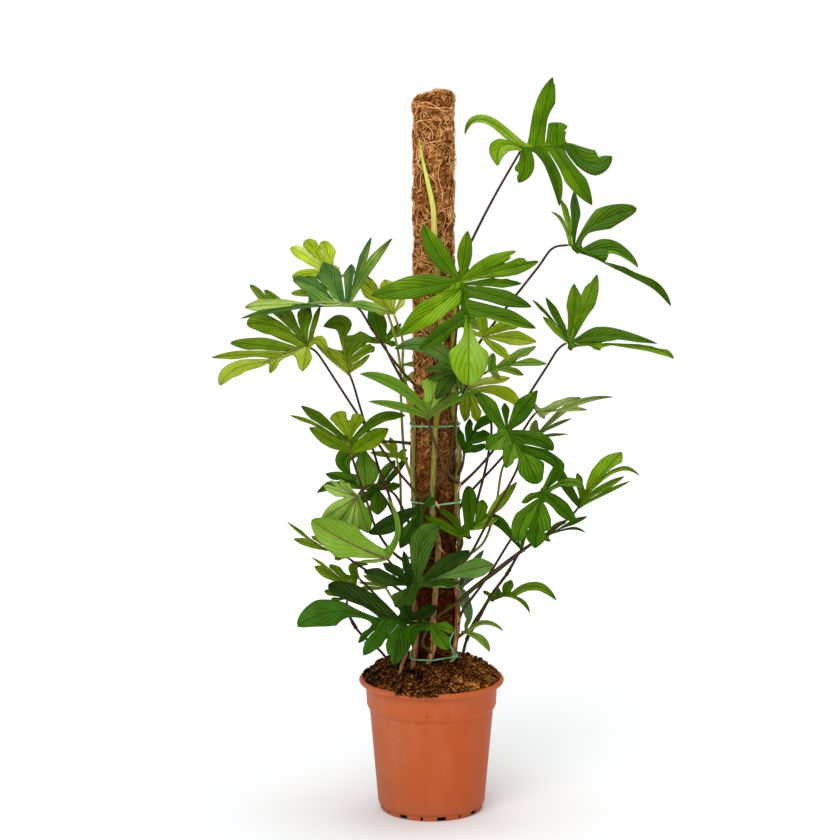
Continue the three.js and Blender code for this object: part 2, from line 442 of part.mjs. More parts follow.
function bladeOf(row) {
  const [, , , , seatAt, facingXYZ, ribAt, , lobeRows, web = 0] = row;
  const seat = seen(seatAt), facing = V(...facingXYZ).normalize();
  const ribEnd = ribAt ? onBlade(...ribAt, seat, facing) : seat.clone();
  const leaf = { seat, facing, ribEnd, web };
  const all = lobeRows.map(l => new Lobe(l, leaf));
  leaf.along = (ribAt ? ribEnd.clone().sub(seat) : all[0].tip.clone().sub(seat)).normalize();
  const lobes = ring(all, leaf, Boolean(ribAt));
  const shares = [...new Set([0, ...all.map(l => l.share)])].sort((p, q) => p - q);

  const verts = [], tris = [];
  const put = p => verts.push(p) - 1;
  const rib = shares.map(s => put(seat.clone().lerp(ribEnd, s)));
  const n = lobes.length;
  const notches = lobes.map((l, i) =>
    put(notch(l, lobes[(i + 1) % n], leaf, i === n - 1)));
  const outline = [];
  lobes.forEach((lobe, i) => {
    const previous = lobes[(i + n - 1) % n], next = lobes[(i + 1) % n];
    const steps = lobe.half > 13 && lobe.length > 60 ? 3 : 2;
    const root = rib[shares.indexOf(lobe.share)];
    const centre = [root];
    for (let j = 1; j <= steps; j++) centre.push(put(lobe.at(j / steps)));
    const side = (from, turn, neighbour) => {
      const start = THREE.MathUtils.clamp(
        verts[from].clone().sub(lobe.root).dot(lobe.tip.clone().sub(lobe.root)) / lobe.length ** 2,
        0, 0.5);
      const edge = [from];
      for (let j = 1; j < steps; j++) {
        edge.push(put(lobe.edge(start + (1 - start) * j / steps, turn, neighbour)));
      }
      edge.push(centre[steps]);
      for (let j = 0; j < steps; j++) {
        const [c0, c1, e0, e1] = [centre[j], centre[j + 1], edge[j], edge[j + 1]];
        const ways = [[[c0, e0, e1], [c0, e1, c1]], [[c0, e0, c1], [e0, e1, c1]]];
        const least = way => Math.min(...way.map(t => turn * shown(...t.map(k => verts[k]), facing)));
        const pair = j === steps - 1 ? [[c0, e0, c1]] : ways[least(ways[0]) < least(ways[1]) ? 1 : 0];
        tris.push(...pair.map(t => turn > 0 ? t : [t[0], t[2], t[1]]));
      }
      return edge;
    };
    const before = side(notches[(i + n - 1) % n], -1, previous);
    const after = side(notches[i], 1, next);
    outline.push(...before.slice(0, -1), ...after.slice(1).reverse());
    let from = shares.indexOf(lobe.share);
    const to = shares.indexOf(next.share);
    while (i < n - 1 && from !== to) {
      const step = Math.sign(to - from);
      tris.push([rib[from], rib[from + step], notches[i]]);
      from += step;
    }
  });
  return { leaf, lobes, verts, tris, outline };
}

// The blade as a solid: both faces carry the same triangles, joined by a rim.
function bladeSolid({ verts, tris, outline, leaf }) {
  const normals = verts.map(() => V(0, 0, 0));
  let turned = 0;
  for (const [a, b, c] of tris) {
    const face = V().crossVectors(verts[b].clone().sub(verts[a]), verts[c].clone().sub(verts[a]));
    turned += face.dot(leaf.facing);
    [a, b, c].forEach(i => normals[i].add(face));
  }
  const up = turned > 0;
  if (!up) normals.forEach(v => v.negate());
  const count = verts.length;
  const both = [
    ...verts.map((p, i) => p.clone().addScaledVector(normals[i].clone().normalize(), BLADE / 2)),
    ...verts.map((p, i) => p.clone().addScaledVector(normals[i].clone().normalize(), -BLADE / 2)),
  ];
  const solid = [];
  for (const [p, q, r] of tris) {
    solid.push(up ? [p, q, r] : [p, r, q]);
    solid.push(up ? [p + count, r + count, q + count] : [p + count, q + count, r + count]);
  }
  const edgeOf = new Set(tris.flatMap(([p, q, r]) => [`${p},${q}`, `${q},${r}`, `${r},${p}`]));
  for (const key of edgeOf) {
    const [p, q] = key.split(',').map(Number);
    if (edgeOf.has(`${q},${p}`)) continue;
    const wall = [[p, p + count, q + count], [p, q + count, q]];
    solid.push(...wall.map(t => up ? t : [t[0], t[2], t[1]]));
  }
  return manifold(both, solid);
}

// Stem and stalk lines
const smooth = (points, per) =>
  new THREE.CatmullRomCurve3(points).getPoints((points.length - 1) * per);
function clearOfPole(p, radius) {
  const from = V(p.x - POLE_X, p.y, 0), least = STEM_CLEAR + radius;
  if (p.z > COIR_TOP || from.length() >= least) return p;
  from.setLength(least);
  return V(POLE_X + from.x, from.y, p.z);
}
// The top of the mix: [radius, z] from the pole to the pot's lip.
const SOIL_TOP = [[0, SOIL_TOP_Z], [38, SOIL_TOP_Z], [62, 251], [86, 242], [101, 233],
  [110.5, 225.5], [111.8, 222.6]];
function soilTop(r) {
  const i = SOIL_TOP.findIndex(p => p[0] > r), [a, b] = [SOIL_TOP[i - 1], SOIL_TOP[i]];
  return THREE.MathUtils.mapLinear(r, a[0], b[0], a[1], b[1]);
}
const stemLine = {};
for (const [name, [radius, points]] of Object.entries(STEMS)) {
  const foot = clearOfPole(seen(points[0]), radius);
  foot.setZ(soilTop(Math.hypot(foot.x, foot.y) - radius) + 2);
  const rest = smooth([foot, ...points.slice(1).map(seen)], 1).slice(1);
  stemLine[name] = [V(foot.x, foot.y, STEM_FOOT), foot, ...rest.map(p => clearOfPole(p, radius))];
}
const onStem = (name, z) => {
  const line = stemLine[name];
  const height = Math.max(seen([0, z, line[1].y]).z, SOIL_TOP_Z + 8);
  const i = Math.max(1, line.findIndex(p => p.z > height));
  const [a, b] = [line[i - 1], line[i]];
  return a.clone().lerp(b, (height - a.z) / (b.z - a.z));
};

const blades = LEAVES.map(row => {
  const [name, stem, footZ, via, seatAt] = row;
  const made = bladeOf(row);
  const seat = seen(seatAt);
  const course = new THREE.CatmullRomCurve3([onStem(stem, footZ), ...via.map(seen), seat]);
  const line = course.getSpacedPoints(Math.max(2, Math.round(course.getLength() / STALK_STEP)))
    .map((p, i, all) => i > 1 && i < all.length - 1 ? clearOfPole(p, STALK_BASE) : p);
  const toSeat = seat.clone().sub(line[line.length - 2]).normalize();
  const stub = tube([seat.clone().addScaledVector(toSeat, -SEAT_STUB),
    seat.clone().addScaledVector(toSeat, 2)], [STALK_TIP, STALK_TIP * 0.7], 3);
  line[line.length - 1] = seat.clone().addScaledVector(toSeat, -SEAT_STUB - GAP);
  const radii = line.map((_, i) =>
    THREE.MathUtils.lerp(STALK_BASE, STALK_TIP, i / (line.length - 1)));
  return { name, stem, tone: row[7], body: bladeSolid(made).add(stub), stalk: tube(line, radii, 4) };
});

// Pot
const wallOut = [[FOOT_R, 0], [FOOT_R, FLOOR_Z - 2], [88.5, FLOOR_Z + WALL], [100.5, 150],
  [102.5, 170], [107.2, 178], [108.8, 213]];
const lip = [[RIM_R - 1.5, 215.5], [RIM_R, 219.5], [RIM_R - 3, POT_HEIGHT],
  [113.5, POT_HEIGHT - 0.5]];
const wallIn = wallOut.slice(2).reverse().map(([r, z]) => [r - WALL, z]);
let pot = turned([[0, FLOOR_Z - 2], [FOOT_R - FOOT_WALL, FLOOR_Z - 2], [FOOT_R - FOOT_WALL, 0],
  ...wallOut, ...lip, ...wallIn, [0, FLOOR_Z + WALL]], POT_SIDES);
for (let i = 0; i < PADS; i++) {
  const a = (i + 0.5) / PADS * 2 * Math.PI, w = i % 2 ? NARROW_SLOT : WIDE_SLOT;
  pot = pot.subtract(box(FOOT_WALL * 4, w, SLOT_HEIGHT * 2, FOOT_R * Math.cos(a),
    FOOT_R * Math.sin(a), 0, a));
}
for (let i = 0; i < DRAIN_HOLES; i++) {
  const a = i / DRAIN_HOLES * 2 * Math.PI;
  pot = pot.subtract(tube([V(DRAIN_AT * Math.cos(a), DRAIN_AT * Math.sin(a), 0),
    V(DRAIN_AT * Math.cos(a), DRAIN_AT * Math.sin(a), FLOOR_Z * 2)], [DRAIN_R, DRAIN_R], 8));
}
pot = pot.add(tube([V(0, 0, 0), V(0, 0, FLOOR_Z)], [BOSS_R, BOSS_R], 16));

// Potting mix, with a plain hole for each stem and for the pole
const inner = z => {
  const i = wallOut.findIndex(p => p[1] > z);
  const [a, b] = [wallOut[i - 1], wallOut[i]];
  return THREE.MathUtils.mapLinear(z, a[1], b[1], a[0], b[0]) - WALL - GAP;
};
let soil = turned([[0, SOIL_BASE], [inner(SOIL_BASE), SOIL_BASE], [inner(150), 150.5],
  [inner(170) - 0.2, 170.5], [inner(178), 179], [inner(212), 213.5],
  ...SOIL_TOP.slice().reverse()], POT_SIDES);
for (const [name, [radius]] of Object.entries(STEMS)) {
  const foot = stemLine[name][0];
  const hole = (radius + GAP) / Math.cos(Math.PI / 8);
  soil = soil.subtract(tube([V(foot.x, foot.y, STEM_FOOT - GAP), V(foot.x, foot.y, ABOVE_MIX)],
    [hole, hole], 8));
}
const poleHole = COIR_R + GAP * 2;
soil = soil.subtract(turned([[0, STAKE_BASE - GAP], [STAKE_R + GAP * 2, STAKE_BASE - GAP],
  [STAKE_R + GAP * 2, COIR_BASE - GAP], [poleHole, COIR_BASE - GAP], [poleHole, ABOVE_MIX],
  [0, ABOVE_MIX]],
COIR_SIDES, POLE_X));

// Pole
const lump = (i, j) => COIR_LUMP * Math.sin(i * 2.4 + j * 1.9) * Math.cos(i * 1.3 - j * 2.7);
const coirRings = Array.from({ length: COIR_RINGS }, (_, i) => [COIR_R, FIRST_RING + i * RING_STEP]);
const coir = turned([[0, COIR_BASE], [COIR_R, COIR_BASE], [COIR_R, FIRST_RING - 6], ...coirRings,
  [COIR_R - 3.5, COIR_TOP - 6], [COIR_R - 12, COIR_TOP], [0, COIR_TOP]], COIR_SIDES, POLE_X,
(i, j) => i < 3 ? 0 : lump(i, j))
  .subtract(tube([V(POLE_X, 0, COIR_BASE - 5), V(POLE_X, 0, STAKE_TOP + GAP)],
    [STAKE_R + GAP, STAKE_R + GAP], STAKE_SIDES));
const stake = tube([V(POLE_X, 0, STAKE_BASE), V(POLE_X, 0, STAKE_TOP)], [STAKE_R, STAKE_R],
  STAKE_SIDES);

// Ties: closed loops drawn round the pole and the stems they hold
function loop(z, held) {
  const discs = [[POLE_X, 0, COIR_R + COIR_LUMP]];
  for (const name of held) {
    const line = stemLine[name], i = line.findIndex(p => p.z > z);
    const c = line[i - 1].clone().lerp(line[i], (z - line[i - 1].z) / (line[i].z - line[i - 1].z));
    discs.push([c.x, c.y, STEMS[name][0] + 0.4]);
  }
  const clear = TIE_R + GAP, points = [];
  for (let j = 0; j < TIE_STEPS; j++) {
    const a = j / TIE_STEPS * 2 * Math.PI, u = [Math.cos(a), Math.sin(a)];
    const best = discs.reduce((p, q) =>
      q[0] * u[0] + q[1] * u[1] + q[2] > p[0] * u[0] + p[1] * u[1] + p[2] ? q : p);
    // A chord of the round cuts inside it, so the corners stand out a little.
    const r = (best[2] + clear) / Math.cos(Math.PI / TIE_STEPS);
    points.push(V(best[0] + u[0] * r, best[1] + u[1] * r, z));
  }
  return points.filter((p, i) => p.distanceTo(points.at(i - 1)) > 0.5);
}
function hoop(points) {
  const verts = [], tris = [], n = points.length, sides = 4;
  points.forEach((p, i) => {
    const along = points[(i + 1) % n].clone().sub(points[(i + n - 1) % n]).normalize();
    const out = V().crossVectors(along, V(0, 0, 1));
    for (let j = 0; j < sides; j++) {
      const a = j / sides * 2 * Math.PI;
      verts.push(p.clone().addScaledVector(out, TIE_R * Math.cos(a)).add(V(0, 0, TIE_R * Math.sin(a))));
    }
  });
  for (let i = 0; i < n; i++) {
    for (let j = 0; j < sides; j++) {
      const [a, b] = [i * sides + j, i * sides + (j + 1) % sides];
      const [c, d] = [(i + 1) % n * sides + j, (i + 1) % n * sides + (j + 1) % sides];
      tris.push([a, c, b], [b, c, d]);
    }
  }
  return manifold(verts, tris);
}

// New leaf, still rolled, that grows on from the tip of the front stem
const SHEATH_R = [4.2, 5, 5, 4.6, 4.4, 4.2, 3.8, 3.2, 2.4, 1.5, 0.6];
const sheathLine = [stemLine.front.at(-1).clone().add(V(0, 0, GAP * 1.5)),
  ...[[4, 960, -46], [2, 1000, -45], [-6, 1040, -43], [-14, 1075, -42], [-21, 1112, -41]].map(seen)];
const sheath = tube(smooth(sheathLine, 2), SHEATH_R, 6);

node('pot', pot, '#bd5c38', 0.6);
node('soil', soil, '#3a2413', 0.95);
node('coir_sleeve', coir, '#8a5526', 0.95);
node('stake', stake, '#a88a5c', 0.8);
node('tie_upper', hoop(loop(TIE_Z.upper, ['left', 'right'])), '#7fd09a', 0.5);
node('tie_middle', hoop(loop(TIE_Z.middle, ['left', 'front', 'right'])), '#7fd09a', 0.5);
// The lowest tie is knotted in front, with a long end standing up and a short one hanging.
const lowLoop = loop(TIE_Z.lower, ['left', 'front', 'right']);
const [p0, p1] = lowLoop.map((p, i) => [lowLoop.at(i - 1), p])
  .find(([p, q]) => p.y < 0 && p.x < KNOT_X && q.x >= KNOT_X);
const knot = p0.clone().lerp(p1, (KNOT_X - p0.x) / (p1.x - p0.x));
const ends = [seen([32, 249, -52]), knot, seen([30, 282, -50]), seen([38, 302, -50])];
node('tie_lower', hoop(lowLoop)
  .add(tube(ends, ends.map(() => TIE_R), 4))
  .add(tube([-KNOT_R, 0, KNOT_R].map(d => knot.clone().setX(KNOT_X + d)),
    [KNOT_R * 0.7, KNOT_R, KNOT_R * 0.7], 6)), '#7fd09a', 0.5);
for (const [name, [radius]] of Object.entries(STEMS)) {
  const line = stemLine[name];
  const radii = line.map((_, i) => radius * (i > line.length - 4 ? 0.92 : 1));
  let body = tube(line, radii, 6);
  for (const b of blades) if (b.stem === name) body = body.add(b.stalk);
  node(`stem_${name}`, body, '#6b6a32', 0.6);
}
node('sheath', sheath, '#b9c34a', 0.5);
for (const b of blades) node(`leaf_${b.name}`, b.body, TONES[b.tone], 0.45);

export default group;
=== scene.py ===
import math
import random

import bmesh
import bpy
from mathutils import Matrix, Vector, noise


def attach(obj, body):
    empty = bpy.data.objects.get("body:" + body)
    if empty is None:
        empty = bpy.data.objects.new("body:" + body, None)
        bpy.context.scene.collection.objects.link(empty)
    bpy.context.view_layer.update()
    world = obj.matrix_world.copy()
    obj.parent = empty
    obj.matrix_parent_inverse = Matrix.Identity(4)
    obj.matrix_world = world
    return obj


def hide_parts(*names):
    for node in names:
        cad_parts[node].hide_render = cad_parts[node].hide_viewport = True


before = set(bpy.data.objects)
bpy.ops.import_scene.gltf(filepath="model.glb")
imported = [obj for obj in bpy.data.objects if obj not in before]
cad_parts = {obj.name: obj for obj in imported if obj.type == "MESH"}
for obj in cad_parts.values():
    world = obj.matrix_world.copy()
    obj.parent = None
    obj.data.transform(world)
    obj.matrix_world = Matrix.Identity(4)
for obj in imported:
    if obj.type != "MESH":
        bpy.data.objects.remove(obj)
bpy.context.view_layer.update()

# Camera: it stands 4.6 m in front of the pole and 1.46 m up, and looks down a little less than 10
# degrees. Its long lens takes in the whole plant.
EYE = Vector((-0.019, -4.6, 1.457))
EYE_DOWN = math.radians(9.9)
LENS = 122.8
FILM_WIDTH = 36
FARTHEST = 200


def placed(name, data):
    """The thing, put in the scene at the origin."""
    thing = bpy.data.objects.new(name, data)
    bpy.context.collection.objects.link(thing)
    return thing


camera_data = bpy.data.cameras.new("camera")
camera_data.lens = LENS
camera_data.sensor_width = FILM_WIDTH
camera_data.clip_end = FARTHEST
camera = placed("camera", camera_data)
camera.location = EYE
camera.rotation_euler = (math.pi / 2 - EYE_DOWN, 0, 0)
bpy.context.scene.camera = camera
bpy.context.scene.view_settings.view_transform = "Standard"

# Room: even daylight with one broad softbox above and in front on the left and a wide one overhead,
# so that the leaves shade each other softly. The walls behind are white.
SKY = (0.96, 0.98, 1.0, 1)
SKY_STRENGTH = 0.36
SOFTBOXES = [
    ("key", (-0.9, -2.8, 2.8), 2.4, 86),
    ("overhead", (0.2, 0.3, 3.0), 2.0, 58),
]
LIT_SPOT = Vector((0, 0, 0.6))

world = bpy.data.worlds.new("room")
world.use_nodes = True
room = world.node_tree.nodes
walls = room.new("ShaderNodeBackground")
walls.inputs["Color"].default_value = (1, 1, 1, 1)
room["Background"].inputs["Color"].default_value = SKY
room["Background"].inputs["Strength"].default_value = SKY_STRENGTH
look = room.new("ShaderNodeLightPath")
both = room.new("ShaderNodeMixShader")
world.node_tree.links.new(look.outputs["Is Camera Ray"], both.inputs[0])
world.node_tree.links.new(room["Background"].outputs[0], both.inputs[1])
world.node_tree.links.new(walls.outputs[0], both.inputs[2])
world.node_tree.links.new(both.outputs[0], room["World Output"].inputs["Surface"])
bpy.context.scene.world = world
for name, at, size, power in SOFTBOXES:
    lamp = bpy.data.lights.new(name, "AREA")
    lamp.size = size
    lamp.energy = power
    softbox = placed(name, lamp)
    softbox.location = at
    softbox.rotation_euler = (LIT_SPOT - Vector(at)).to_track_quat("-Z", "Y").to_euler()


class Shade:
    """A socket of a finish. Sums, products and comparisons of it add the Math nodes they need."""

    def __init__(self, finish, socket):
        self.finish = finish
        self.socket = socket

    def math(self, operation, *values):
        sockets = dict(enumerate(values))
        return self.finish.add("Math", {"operation": operation}, sockets)

    def __add__(self, other):
        return self.math("ADD", self, other)

    def __sub__(self, other):
        return self.math("SUBTRACT", self, other)

    def __rsub__(self, other):
        return self.math("SUBTRACT", other, self)

    def __mul__(self, other):
        return self.math("MULTIPLY", self, other)

    def __abs__(self):
        return self.math("ABSOLUTE", self)

    __radd__ = __add__
    __rmul__ = __mul__

    def step(self, low, high):
        """0 below low, 1 above high, and an even slope between them."""
        limits = {"Value": self, "From Min": low, "From Max": high}
        return self.finish.add("MapRange", {"interpolation_type": "SMOOTHSTEP"}, limits)


class Finish:
    """The material of a piece: its nodes are added one by one, and paint closes it."""

    def __init__(self, name):
        self.material = bpy.data.materials.new(name)
        self.material.use_nodes = True
        self.material.node_tree.nodes.clear()
        self.place = self.add("TexCoord", {}, {}, "Object")

    def add(self, kind, settings, sockets, out=0):
        node = self.material.node_tree.nodes.new("ShaderNode" + kind)
        for name, value in settings.items():
            if name == "stops":
                node.color_ramp.elements[0].position = value[0][0]
                node.color_ramp.elements[0].color = value[0][1]
                node.color_ramp.elements[1].position = value[-1][0]
                node.color_ramp.elements[1].color = value[-1][1]
                for position, color in value[1:-1]:
                    node.color_ramp.elements.new(position).color = color
            else:
                setattr(node, name, value)
        for name, value in sockets.items():
            if isinstance(value, Shade):
                self.material.node_tree.links.new(value.socket, node.inputs[name])
            else:
                node.inputs[name].default_value = value
        return Shade(self, node.outputs[out])

    def axis(self, letter, place=None):
        """How far along X, Y or Z."""
        return self.add("SeparateXYZ", {}, {"Vector": place or self.place}, letter)

    def stretched(self, x, y, z):
        """Places on the piece, scaled along each axis."""
        return self.add("Mapping", {}, {"Vector": self.place, "Scale": (x, y, z)})

    def grain(self, scale, detail=3, place=None):
        """Even, cloudy variation from 0 to 1, about as fine as 1 / scale."""
        sockets = {"Vector": place or self.place, "Scale": scale, "Detail": detail}
        return self.add("TexNoise", {}, sockets)

    def cells(self, scale, out="Color"):
        """One random value for each small cell of the surface."""
        return self.add("TexVoronoi", {}, {"Vector": self.place, "Scale": scale}, out)

    def mix(self, factor, a, b):
        return self.add("Mix", {"data_type": "RGBA"}, {0: factor, 6: a, 7: b}, 2)

    def ramp(self, value, *stops):
        return self.add("ValToRGB", {"stops": stops}, {0: value})

    def shades(self, value, *stops):
        """A colour for each value, between stops of a value, red, green and blue."""
        return self.ramp(value, *[(at, srgb(*color)) for at, *color in stops])

    def bump(self, height, depth, under=None):
        """Relief of the given depth in metres, over another relief if there is one."""
        sockets = {"Height": height, "Distance": depth, "Strength": 1.0}
        if under:
            sockets["Normal"] = under
        return self.add("Bump", {}, sockets)

    def paint(self, color, roughness, normal, gloss=0.5, **more):
        sockets = {"Base Color": color, "Roughness": roughness, "Normal": normal}
        sockets["Specular IOR Level"] = gloss
        sockets.update({name.replace("_", " ").title(): value for name, value in more.items()})
        shader = self.add("BsdfPrincipled", {}, sockets)
        output = self.material.node_tree.nodes.new("ShaderNodeOutputMaterial")
        self.material.node_tree.links.new(shader.socket, output.inputs["Surface"])
        return self.material


def srgb(red, green, blue):
    """A colour read off in the usual 0 to 255 steps, as light."""
    steps = [c / 255 for c in (red, green, blue)]
    return tuple(c / 12.92 if c < 0.04 else ((c + 0.055) / 1.055) ** 2.4 for c in steps) + (1,)


# Floor: a plain pale matte sweep that fills the view. It glows from within away from the pot, so that
# it stays white as far as the walls, and has a painted shadow under the pot's foot.
FLOOR_R = 60
FLOOR_SIDES = 96
FLOOR_GLOW = 0.74
GLOW_FROM = 0.15
GLOW_TO = 2.6
GLOW_NEAR = (0.09, 0.09, 0.09, 1)
SHADE_R = 0.080
SHADE_EDGE = 0.004
FLOOR_SHADED = (0.10, 0.08, 0.07, 1)
FLOOR_PALE = (0.85, 0.860, 0.862, 1)

bm = bmesh.new()
bmesh.ops.create_circle(bm, cap_ends=True, segments=FLOOR_SIDES, radius=FLOOR_R)
floor_mesh = bpy.data.meshes.new("floor")
bm.to_mesh(floor_mesh)
bm.free()
floor = placed("floor", floor_mesh)
sweep = Finish("floor_matte")
away = sweep.add("VectorMath", {"operation": "LENGTH"}, {0: sweep.place}, "Value")
glow = sweep.ramp(away.step(GLOW_FROM, GLOW_TO), (0, GLOW_NEAR), (1, (1, 1, 1, 1)))
# Painted shadow under the pot's foot: no glow there and a dark floor colour.
open_floor = away.step(SHADE_R, SHADE_R + SHADE_EDGE)
glow = sweep.mix(open_floor, (0, 0, 0, 1), glow)
pale = sweep.mix(open_floor, FLOOR_SHADED, FLOOR_PALE)
matte = sweep.paint(pale, 0.9, sweep.bump(sweep.grain(40), 0.0001), 0.2,
                    emission_color=glow, emission_strength=FLOOR_GLOW)
floor_mesh.materials.append(matte)


# Pot: a 24 cm nursery pot moulded in terracotta-coloured plastic. The wall is thin and tapered, with a
# step under the rolled lip, and stands on a ring of pads with slots between them.
POT_WALL = 0.0022
POT_FLOOR = 0.010
FOOT_R = 0.084
FOOT_WALL = 0.004
FOOT_PADS = 16
POT_SIDE = [(0.084, 0), (0.084, 0.008), (0.0885, 0.0122), (0.1005, 0.150), (0.1024, 0.1715),
            (0.1052, 0.1745), (0.1070, 0.179), (0.1088, 0.213)]
POT_LIP = [(0.1185, 0.2155), (0.120, 0.2195), (0.117, 0.224), (0.1135, 0.2235)]
POT_SIDES = 128
LIP_ROUND = 0.0009
SLOT_WIDTHS = (0.015, 0.004)
SLOT_DEPTH = 0.016
SLOT_HEIGHT = 0.014
DRAIN_HOLES = 8
DRAIN_R = 0.006
DRAIN_AT = 0.060
CRISP_ANGLE = 40


def turned(profile, sides, round_by=0.0):
    """A solid of revolution round the upright axis, from radius and height pairs, its edges eased."""
    bm = bmesh.new()
    points = [bm.verts.new((radius, 0, height)) for radius, height in profile]
    for a, b in zip(points, points[1:]):
        bm.edges.new((a, b))
    if round_by:
        bmesh.ops.bevel(bm, geom=points[1:-1], offset=round_by, offset_type="OFFSET", segments=3,
                        profile=0.5, affect="VERTICES", material=-1)
    bmesh.ops.spin(bm, geom=bm.verts[:] + bm.edges[:], cent=(0, 0, 0), axis=(0, 0, 1),
                   angle=2 * math.pi, steps=sides, use_merge=True)
    bmesh.ops.remove_doubles(bm, verts=bm.verts, dist=1e-6)
    bmesh.ops.recalc_face_normals(bm, faces=bm.faces)
    return bm


def piece(name, bm, materials, nodes, slot, flat=False):
    """The finished piece: it rides on the plant and stands for its CAD nodes."""
    mesh = bpy.data.meshes.new(name)
    bm.to_mesh(mesh)
    bm.free()
    for material in materials:
        mesh.materials.append(material)
    if not flat:
        mesh.shade_smooth()
    made = placed(name, mesh)
    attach(made, "root")
    if nodes:
        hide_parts(*nodes)
    return made


def settled(draft):
    """The shape of the draft with its modifiers worked in. The draft itself goes."""
    ready = draft.evaluated_get(bpy.context.evaluated_depsgraph_get())
    bm = bmesh.new()
    bm.from_mesh(bpy.data.meshes.new_from_object(ready))
    bpy.data.objects.remove(draft)
    return bm


def cut_away(bm, cutter):
    """The first shape without the second."""
    things = []
    for shape in (bm, cutter):
        mesh = bpy.data.meshes.new("cut")
        shape.to_mesh(mesh)
        shape.free()
        things.append(placed("cut", mesh))
    cut = things[0].modifiers.new("cut", "BOOLEAN")
    cut.operation = "DIFFERENCE"
    cut.object = things[1]
    result = settled(things[0])
    bpy.data.objects.remove(things[1])
    return result


pot_inside = [(radius - POT_WALL, height) for radius, height in reversed(POT_SIDE[2:])]
underside = POT_FLOOR - 0.002
pot_profile = [(0, underside), (FOOT_R - FOOT_WALL, underside), (FOOT_R - FOOT_WALL, 0)]
pot_profile += POT_SIDE + POT_LIP + pot_inside + [(0, POT_FLOOR + POT_WALL)]
pot_bm = turned(pot_profile, POT_SIDES, LIP_ROUND)
slots = bmesh.new()
for i in range(FOOT_PADS):
    angle = (i + 0.5) / FOOT_PADS * 2 * math.pi
    size = Matrix.Diagonal((SLOT_DEPTH, SLOT_WIDTHS[i % 2], SLOT_HEIGHT, 1))
    place = Matrix.Rotation(angle, 4, "Z") @ Matrix.Translation((FOOT_R, 0, 0))
    bmesh.ops.create_cube(slots, size=1, matrix=place @ size)
for i in range(DRAIN_HOLES):
    angle = i / DRAIN_HOLES * 2 * math.pi
    place = Matrix.Rotation(angle, 4, "Z") @ Matrix.Translation((DRAIN_AT, 0, POT_FLOOR))
    bmesh.ops.create_cone(slots, cap_ends=True, segments=16, radius1=DRAIN_R, radius2=DRAIN_R,
                          depth=0.02, matrix=place)
pot_bm = cut_away(pot_bm, slots)

plastic = Finish("terracotta_plastic")
height = plastic.axis("Z")
across = plastic.axis("X")
clouds = plastic.grain(9, 4)
smears = plastic.grain(1, 5, plastic.stretched(26, 26, 9))
# The clay runs from paler pink on the left to deeper orange on the right: painted light that evens out the
# key light from the left.
clay = plastic.shades(clouds * 0.4 + across * 1.6 + 0.3, (0.30, 184, 96, 56), (0.50, 187, 85, 38),
                    (0.70, 198, 86, 34))
# Paler in smears of dust and towards the foot, and a painted sheen on the top band of the wall and the lip.
dust_and_sheen = smears.step(0.42, 0.75) * 0.30 + height.step(0.06, 0.0) * 0.20 + height.step(0.18, 0.21) * 0.15
clay = plastic.mix(dust_and_sheen, clay, srgb(196, 120, 84))
# A thin line of painted shade, with some dirt, in the crease under the step.
crease_shade_and_dirt = height.step(0.1685, 0.1705) * height.step(0.1735, 0.1715)
clay = plastic.mix(crease_shade_and_dirt * 0.1, clay, srgb(110, 44, 18))
soiled = plastic.cells(150, out="Distance").step(0.20, 0.12) * plastic.grain(14, 2).step(0.54, 0.62)
clay = plastic.mix(soiled * 0.5, clay, srgb(70, 36, 20))
skin = plastic.bump(plastic.grain(900, 2), 0.00006)
skin = plastic.bump(plastic.grain(1, 2, plastic.stretched(1, 1, 900)), 0.00003, skin)
moulded = plastic.paint(clay, smears.step(0.3, 0.8) * 0.2 + 0.46, skin, 0.15)
pot = piece("nursery_pot", pot_bm, [moulded], ["pot"], "pot")
crisp = pot.modifiers.new("crisp", "EDGE_SPLIT")
crisp.split_angle = math.radians(CRISP_ANGLE)


# Potting mix: a dark, moist mix of peat, bark crumbs and coir, heaped towards the pole. A little of it
# has spilt on the front lip, and pale chips and loose fibres lie on top.
MIX_FOOT = [(0, 0.013), (0.0861, 0.013), (0.0976, 0.150), (0.0994, 0.1715), (0.1021, 0.1745),
            (0.1040, 0.179), (0.1060, 0.2135)]
MIX_TOP = [(0, 0.256), (0.038, 0.256), (0.062, 0.251), (0.086, 0.242), (0.101, 0.233),
           (0.1105, 0.2255), (0.1118, 0.2226)]
MIX_SIDES = 144
MIX_R = 0.113
MIX_EDGE = 0.2215
CRUMBS = 3600
CRUMB_SIZES = [0.0009, 0.0012, 0.0017, 0.0024, 0.0036]
CHIPS = 260
MIX_FIBRES = 620
MIX_FIBRE_R = [0.0002, 0.0003, 0.0003, 0.00025, 0.0001]
BATCH = 100
SPILL_FROM = -0.060
SPILL_TO = 0.010
SPILT = 0.16
ON_LIP = 0.84
SPECKS = [(-68, 178), (-43, 180), (-38, 171), (55, 163), (-62, 138), (-18, 110), (18, 180), (26, 179),
          (-8, 184), (-70, 161), (-64, 160), (4, 150), (-76, 190)]


def on_mix(radius):
    """Height of the top of the mix, that far from the pole."""
    for (r0, z0), (r1, z1) in zip(MIX_TOP, MIX_TOP[1:]):
        if radius <= r1:
            return z0 + (z1 - z0) * (radius - r0) / (r1 - r0)
    return MIX_TOP[-1][1]


def lump(spot):
    """How far the top of the mix stands above its even heap there."""
    flat = Vector((spot.x, spot.y, 0))
    calm = min(1, max(0, 0.1145 - flat.length) * 120)
    return (noise.noise(flat * 55) * 0.0055 + noise.noise(flat * 160) * 0.0028) * calm


